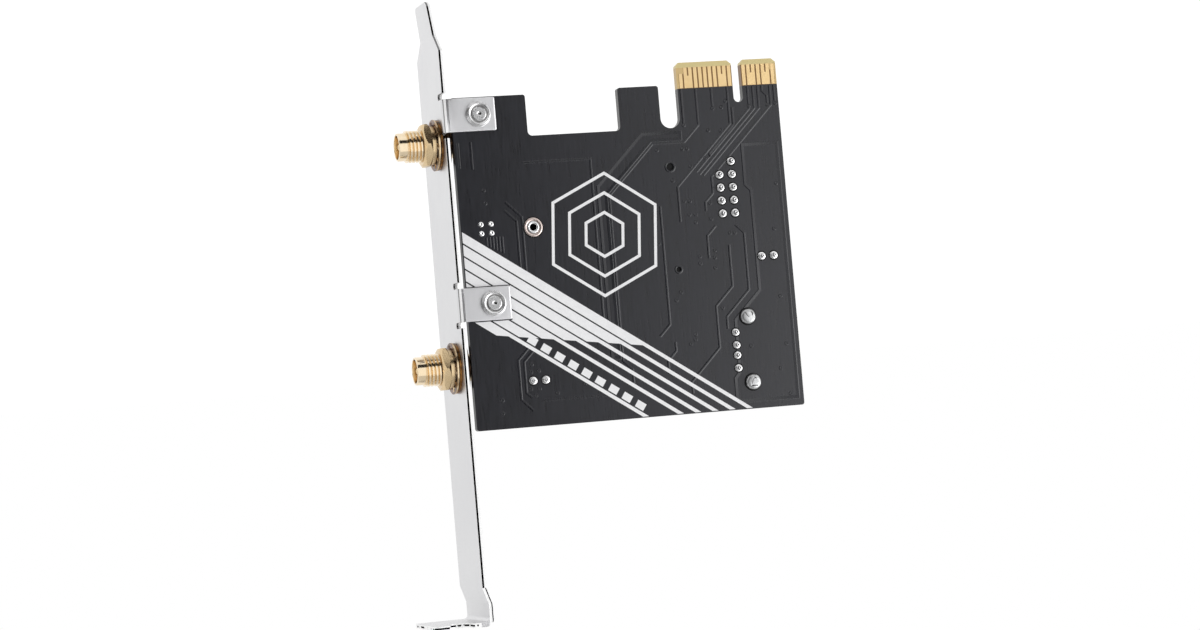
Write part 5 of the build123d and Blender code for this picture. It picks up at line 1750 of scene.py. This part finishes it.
@dataclass
class Studio:
    """A plain pale floor in a white room, soft lamps, and the camera of the photograph.

    Attributes:
        floor_z: Height of the floor, in m.
        size: Half the width of the floor, in m.
        room_light: Strength of the even light from the room.
        focal_length: The camera's focal length for a sensor 36 mm wide, in mm.
        camera_at: Where the camera stands, in m.
        camera_right: The direction that runs to the right in the picture.
        camera_down: The direction that runs down in it.
        camera_ahead: The direction in which it looks.
        lamps: The lamps.
    """

    floor_z: float = -0.030
    size: float = 4.0
    room_light: float = 0.80
    focal_length: float = 92.26
    camera_at: Point3 = (0.19727, -0.56958, 0.07077)
    camera_right: Point3 = (-0.95773, -0.27517, 0.08382)
    camera_down: Point3 = (0.0699, 0.06005, 0.99575)
    camera_ahead: Point3 = (-0.27904, 0.95952, -0.03827)
    lamps: Sequence[Lamp] = (Lamp("key_softbox", (-0.25, -0.50, 0.60), 1.40, 2.7),
                             Lamp("fill_softbox", (0.75, -0.45, 0.25), 0.90, 1.1))

    def seen(self, tree: Tree) -> Node:
        """Whether a ray shows the surroundings to the eye, straight, in a mirror or through glass.

        Args:
            tree: The nodes of the surroundings.

        Returns:
            One for such a ray, and nought for any other.
        """
        path = add_node(tree, "ShaderNodeLightPath").outputs
        seen = add_node(tree, MATH, (path["Is Camera Ray"], path["Is Glossy Ray"]), operation="MAXIMUM")
        return add_node(tree, MATH, (seen, path["Is Transmission Ray"]), operation="MAXIMUM")

    def paper(self) -> bpy.types.Material:
        """Matt paper that shows white to the eye and still takes a shadow.

        Returns:
            The paper.
        """
        made = bpy.data.materials.new("paper_matt_white")
        made.use_nodes = True
        tree = made.node_tree
        shader = tree.nodes["Principled BSDF"]
        # Real paper grain is too fine to show, so that of the floor, 8 m wide, is about 9 mm wide.
        grains_across = 900.0
        grain = add_node(tree, NOISE, {"Scale": grains_across})
        tone = add_node(tree, MIX, (grain.outputs["Fac"], linear("#E6E6E5"), linear("#EAEAEA")))
        tree.links.new(tone.outputs[0], shader.inputs["Base Color"])
        shader.inputs["Roughness"].default_value = 0.9
        shade, glow = 0.36, 0.76  # Together they come out white where no shadow falls.
        shaded = add_node(tree, "ShaderNodeBsdfDiffuse", {"Color": (shade, shade, shade, 1.0)})
        white = add_node(tree, "ShaderNodeEmission", {"Strength": glow})
        shown = add_node(tree, "ShaderNodeAddShader", (shaded, white))
        mixed = add_node(tree, "ShaderNodeMixShader", (self.seen(tree), shader, shown))
        tree.links.new(mixed.outputs[0], tree.nodes["Material Output"].inputs["Surface"])
        return made

    def sheet(self, name: str, corners: Sequence[Sequence[float]],
              material: bpy.types.Material) -> bpy.types.Object:
        """Makes a flat sheet that is no part of the card.

        Args:
            name: Its name.
            corners: Its four corners, in m.
            material: Its material.

        Returns:
            The sheet.
        """
        data = bpy.data.meshes.new(name)
        data.from_pydata(list(corners), [], [(0, 1, 2, 3)])
        data.materials.append(material)
        made = bpy.data.objects.new(name, data)
        bpy.context.scene.collection.objects.link(made)
        return made

    def hang(self, card: Card) -> None:
        """Hangs a studio card where only reflections meet it.

        Args:
            card: The card.
        """
        sheet = self.sheet(card.name, card.corners, card.paint())
        sheet.visible_camera = False
        sheet.visible_diffuse = False
        sheet.visible_shadow = False
        sheet.visible_transmission = False

    def cards(self) -> list[Card]:
        """The cards that give the metal and the mask their reflections.

        Returns:
            The cards.
        """
        mat_z = self.floor_z + 0.001
        cards = [
            Card("near_mat", rectangle((-0.10, -0.036, mat_z), (0.0535, -0.004, mat_z)),
                 (0.066, 0.052, 0.062)),
            Card("far_mat", [(0.008, -0.12, mat_z), (-0.26, -0.99, mat_z), (0.48, -0.99, mat_z),
                             (0.48, -0.12, mat_z)], (0.06, 0.06, 0.065)),
            Card("grey_card", rectangle((-1.3, -1.0, -0.6), (0.5, -1.0, 0.9)), (2.95, 2.95, 2.98),
                 (0.015, 0.015, 0.016), (0.5111, 0.5778)),
            Card("edge_card", rectangle((-0.75, -0.98, -0.4), (-0.75, -0.40, 0.6)), (4.6, 4.6, 4.65)),
            Card("key_card", rectangle((-0.9, -1.0, 0.75), (0.7, -0.08, 0.75)), (0.72,) * 3),
        ]
        # The bright cards stand in front of the ports' threads and the dark ones below them.
        left, right, front = 0.0582, 0.085, -0.006
        for axis_z in PORT_Z:
            low, turn, high = (axis_z * MM + step for step in (-0.0115, -0.0041, 0.0075))
            cards += [
                Card("bright_port_card", rectangle((left, front, turn), (right, front, high)), (1.15,) * 3),
                Card("dark_port_card", rectangle((left, front, low), (right, front, turn)), (0.03,) * 3),
            ]
        return cards + [
            Card("nut_flag", rectangle((0.0572, -0.0080, 0.0040), (0.0632, -0.0008, 0.0040)),
                 (0.05, 0.04, 0.035)),
            Card("side_flag", rectangle((0.55, -0.55, -0.25), (0.55, -0.10, 0.35)), (0.05, 0.05, 0.06)),
        ]

    def world(self) -> None:
        """Lights the room evenly, and shows it white."""
        scene = bpy.context.scene
        scene.world = scene.world or bpy.data.worlds.new("room")
        scene.world.use_nodes = True
        tree = scene.world.node_tree
        tree.nodes.clear()
        even, white = (add_node(tree, "ShaderNodeBackground", ((1, 1, 1, 1), strength))
                       for strength in (self.room_light, 1.0))
        mixed = add_node(tree, "ShaderNodeMixShader", (self.seen(tree), even, white))
        add_node(tree, "ShaderNodeOutputWorld", {"Surface": mixed})

    def camera(self) -> None:
        """Stands the camera where the photograph was taken."""
        data = bpy.data.cameras.new("camera")
        data.sensor_width = 36.0
        data.sensor_fit = "HORIZONTAL"
        data.lens = self.focal_length
        data.clip_start = 0.01
        data.clip_end = 20.0
        made = bpy.data.objects.new("camera", data)
        right, up, back = (Vector(self.camera_right), -Vector(self.camera_down), -Vector(self.camera_ahead))
        turn = Matrix((right, up, back)).transposed().to_4x4()
        made.matrix_world = Matrix.Translation(self.camera_at) @ turn
        bpy.context.scene.collection.objects.link(made)
        bpy.context.scene.camera = made

    def build(self) -> None:
        """Sets up the studio."""
        bpy.context.scene.view_settings.view_transform = "Standard"
        far, low = self.size, self.floor_z
        self.sheet("floor", rectangle((-far, -far, low), (far, far, low)), self.paper())
        self.world()
        for lamp in self.lamps:
            lamp.build()
        for card in self.cards():
            self.hang(card)
        self.camera()
        log.info("set up the studio")


# The card


def header_joints() -> list[Joint]:
    """The nine joints of the header, without the one left out.

    Returns:
        The joints.
    """
    missing = (1, 0)
    places = [(column, row) for row in range(5) for column in range(2) if (column, row) != missing]
    return [Joint(*(start + HEADER_PITCH * step for start, step in zip(HEADER_FIRST, place)),
                  pad=0.80, neck=0.48, height=0.20, tip=1.06, tip_radius=0.34) for place in places]


def usb_joints() -> list[Joint]:
    """The plug socket's four small joints."""
    x, middle_z, offsets = 4.69, 56.85, (-3.5, -1.0, 1.0, 3.5)
    return [Joint(x, middle_z + offset, pad=0.75, neck=0.40, height=0.20, tip=1.05, tip_radius=0.32)
            for offset in offsets]


def capacitor_joints() -> list[Joint]:
    """The joints of both capacitors."""
    middles, half_pitch = ((-3.25, 38.8), (44.94, 59.7)), 1.25
    return [Joint(x + side * half_pitch, z, pad=0.80, neck=0.36, height=0.22, tip=1.05, tip_radius=0.28)
            for x, z in middles for side in (-1, 1)]


def main() -> None:
    """Builds the studio and the card, piece by piece."""
    logging.basicConfig(level=logging.INFO, format="%(message)s")
    Studio().build()
    Board().build()
    Pads().build()
    Joints("header_joints", "header_solder", header_joints()).build()
    HeaderPins().build()
    Joints("usb_joints", "usb_solder", usb_joints()).build()
    LugJoints().build()
    Joints("capacitor_joints", "capacitor_solder", capacitor_joints()).build()
    Bracket().build()
    for place, ear_z in zip((Place.LOWER, Place.UPPER), EAR_Z):
        BoardScrew(place, ear_z).build()
    for place, axis_z in zip((Place.LOWER, Place.UPPER), PORT_Z):
        AntennaPort(place, axis_z).build()
    PartSide().build()


if __name__ == "__main__":
    main()
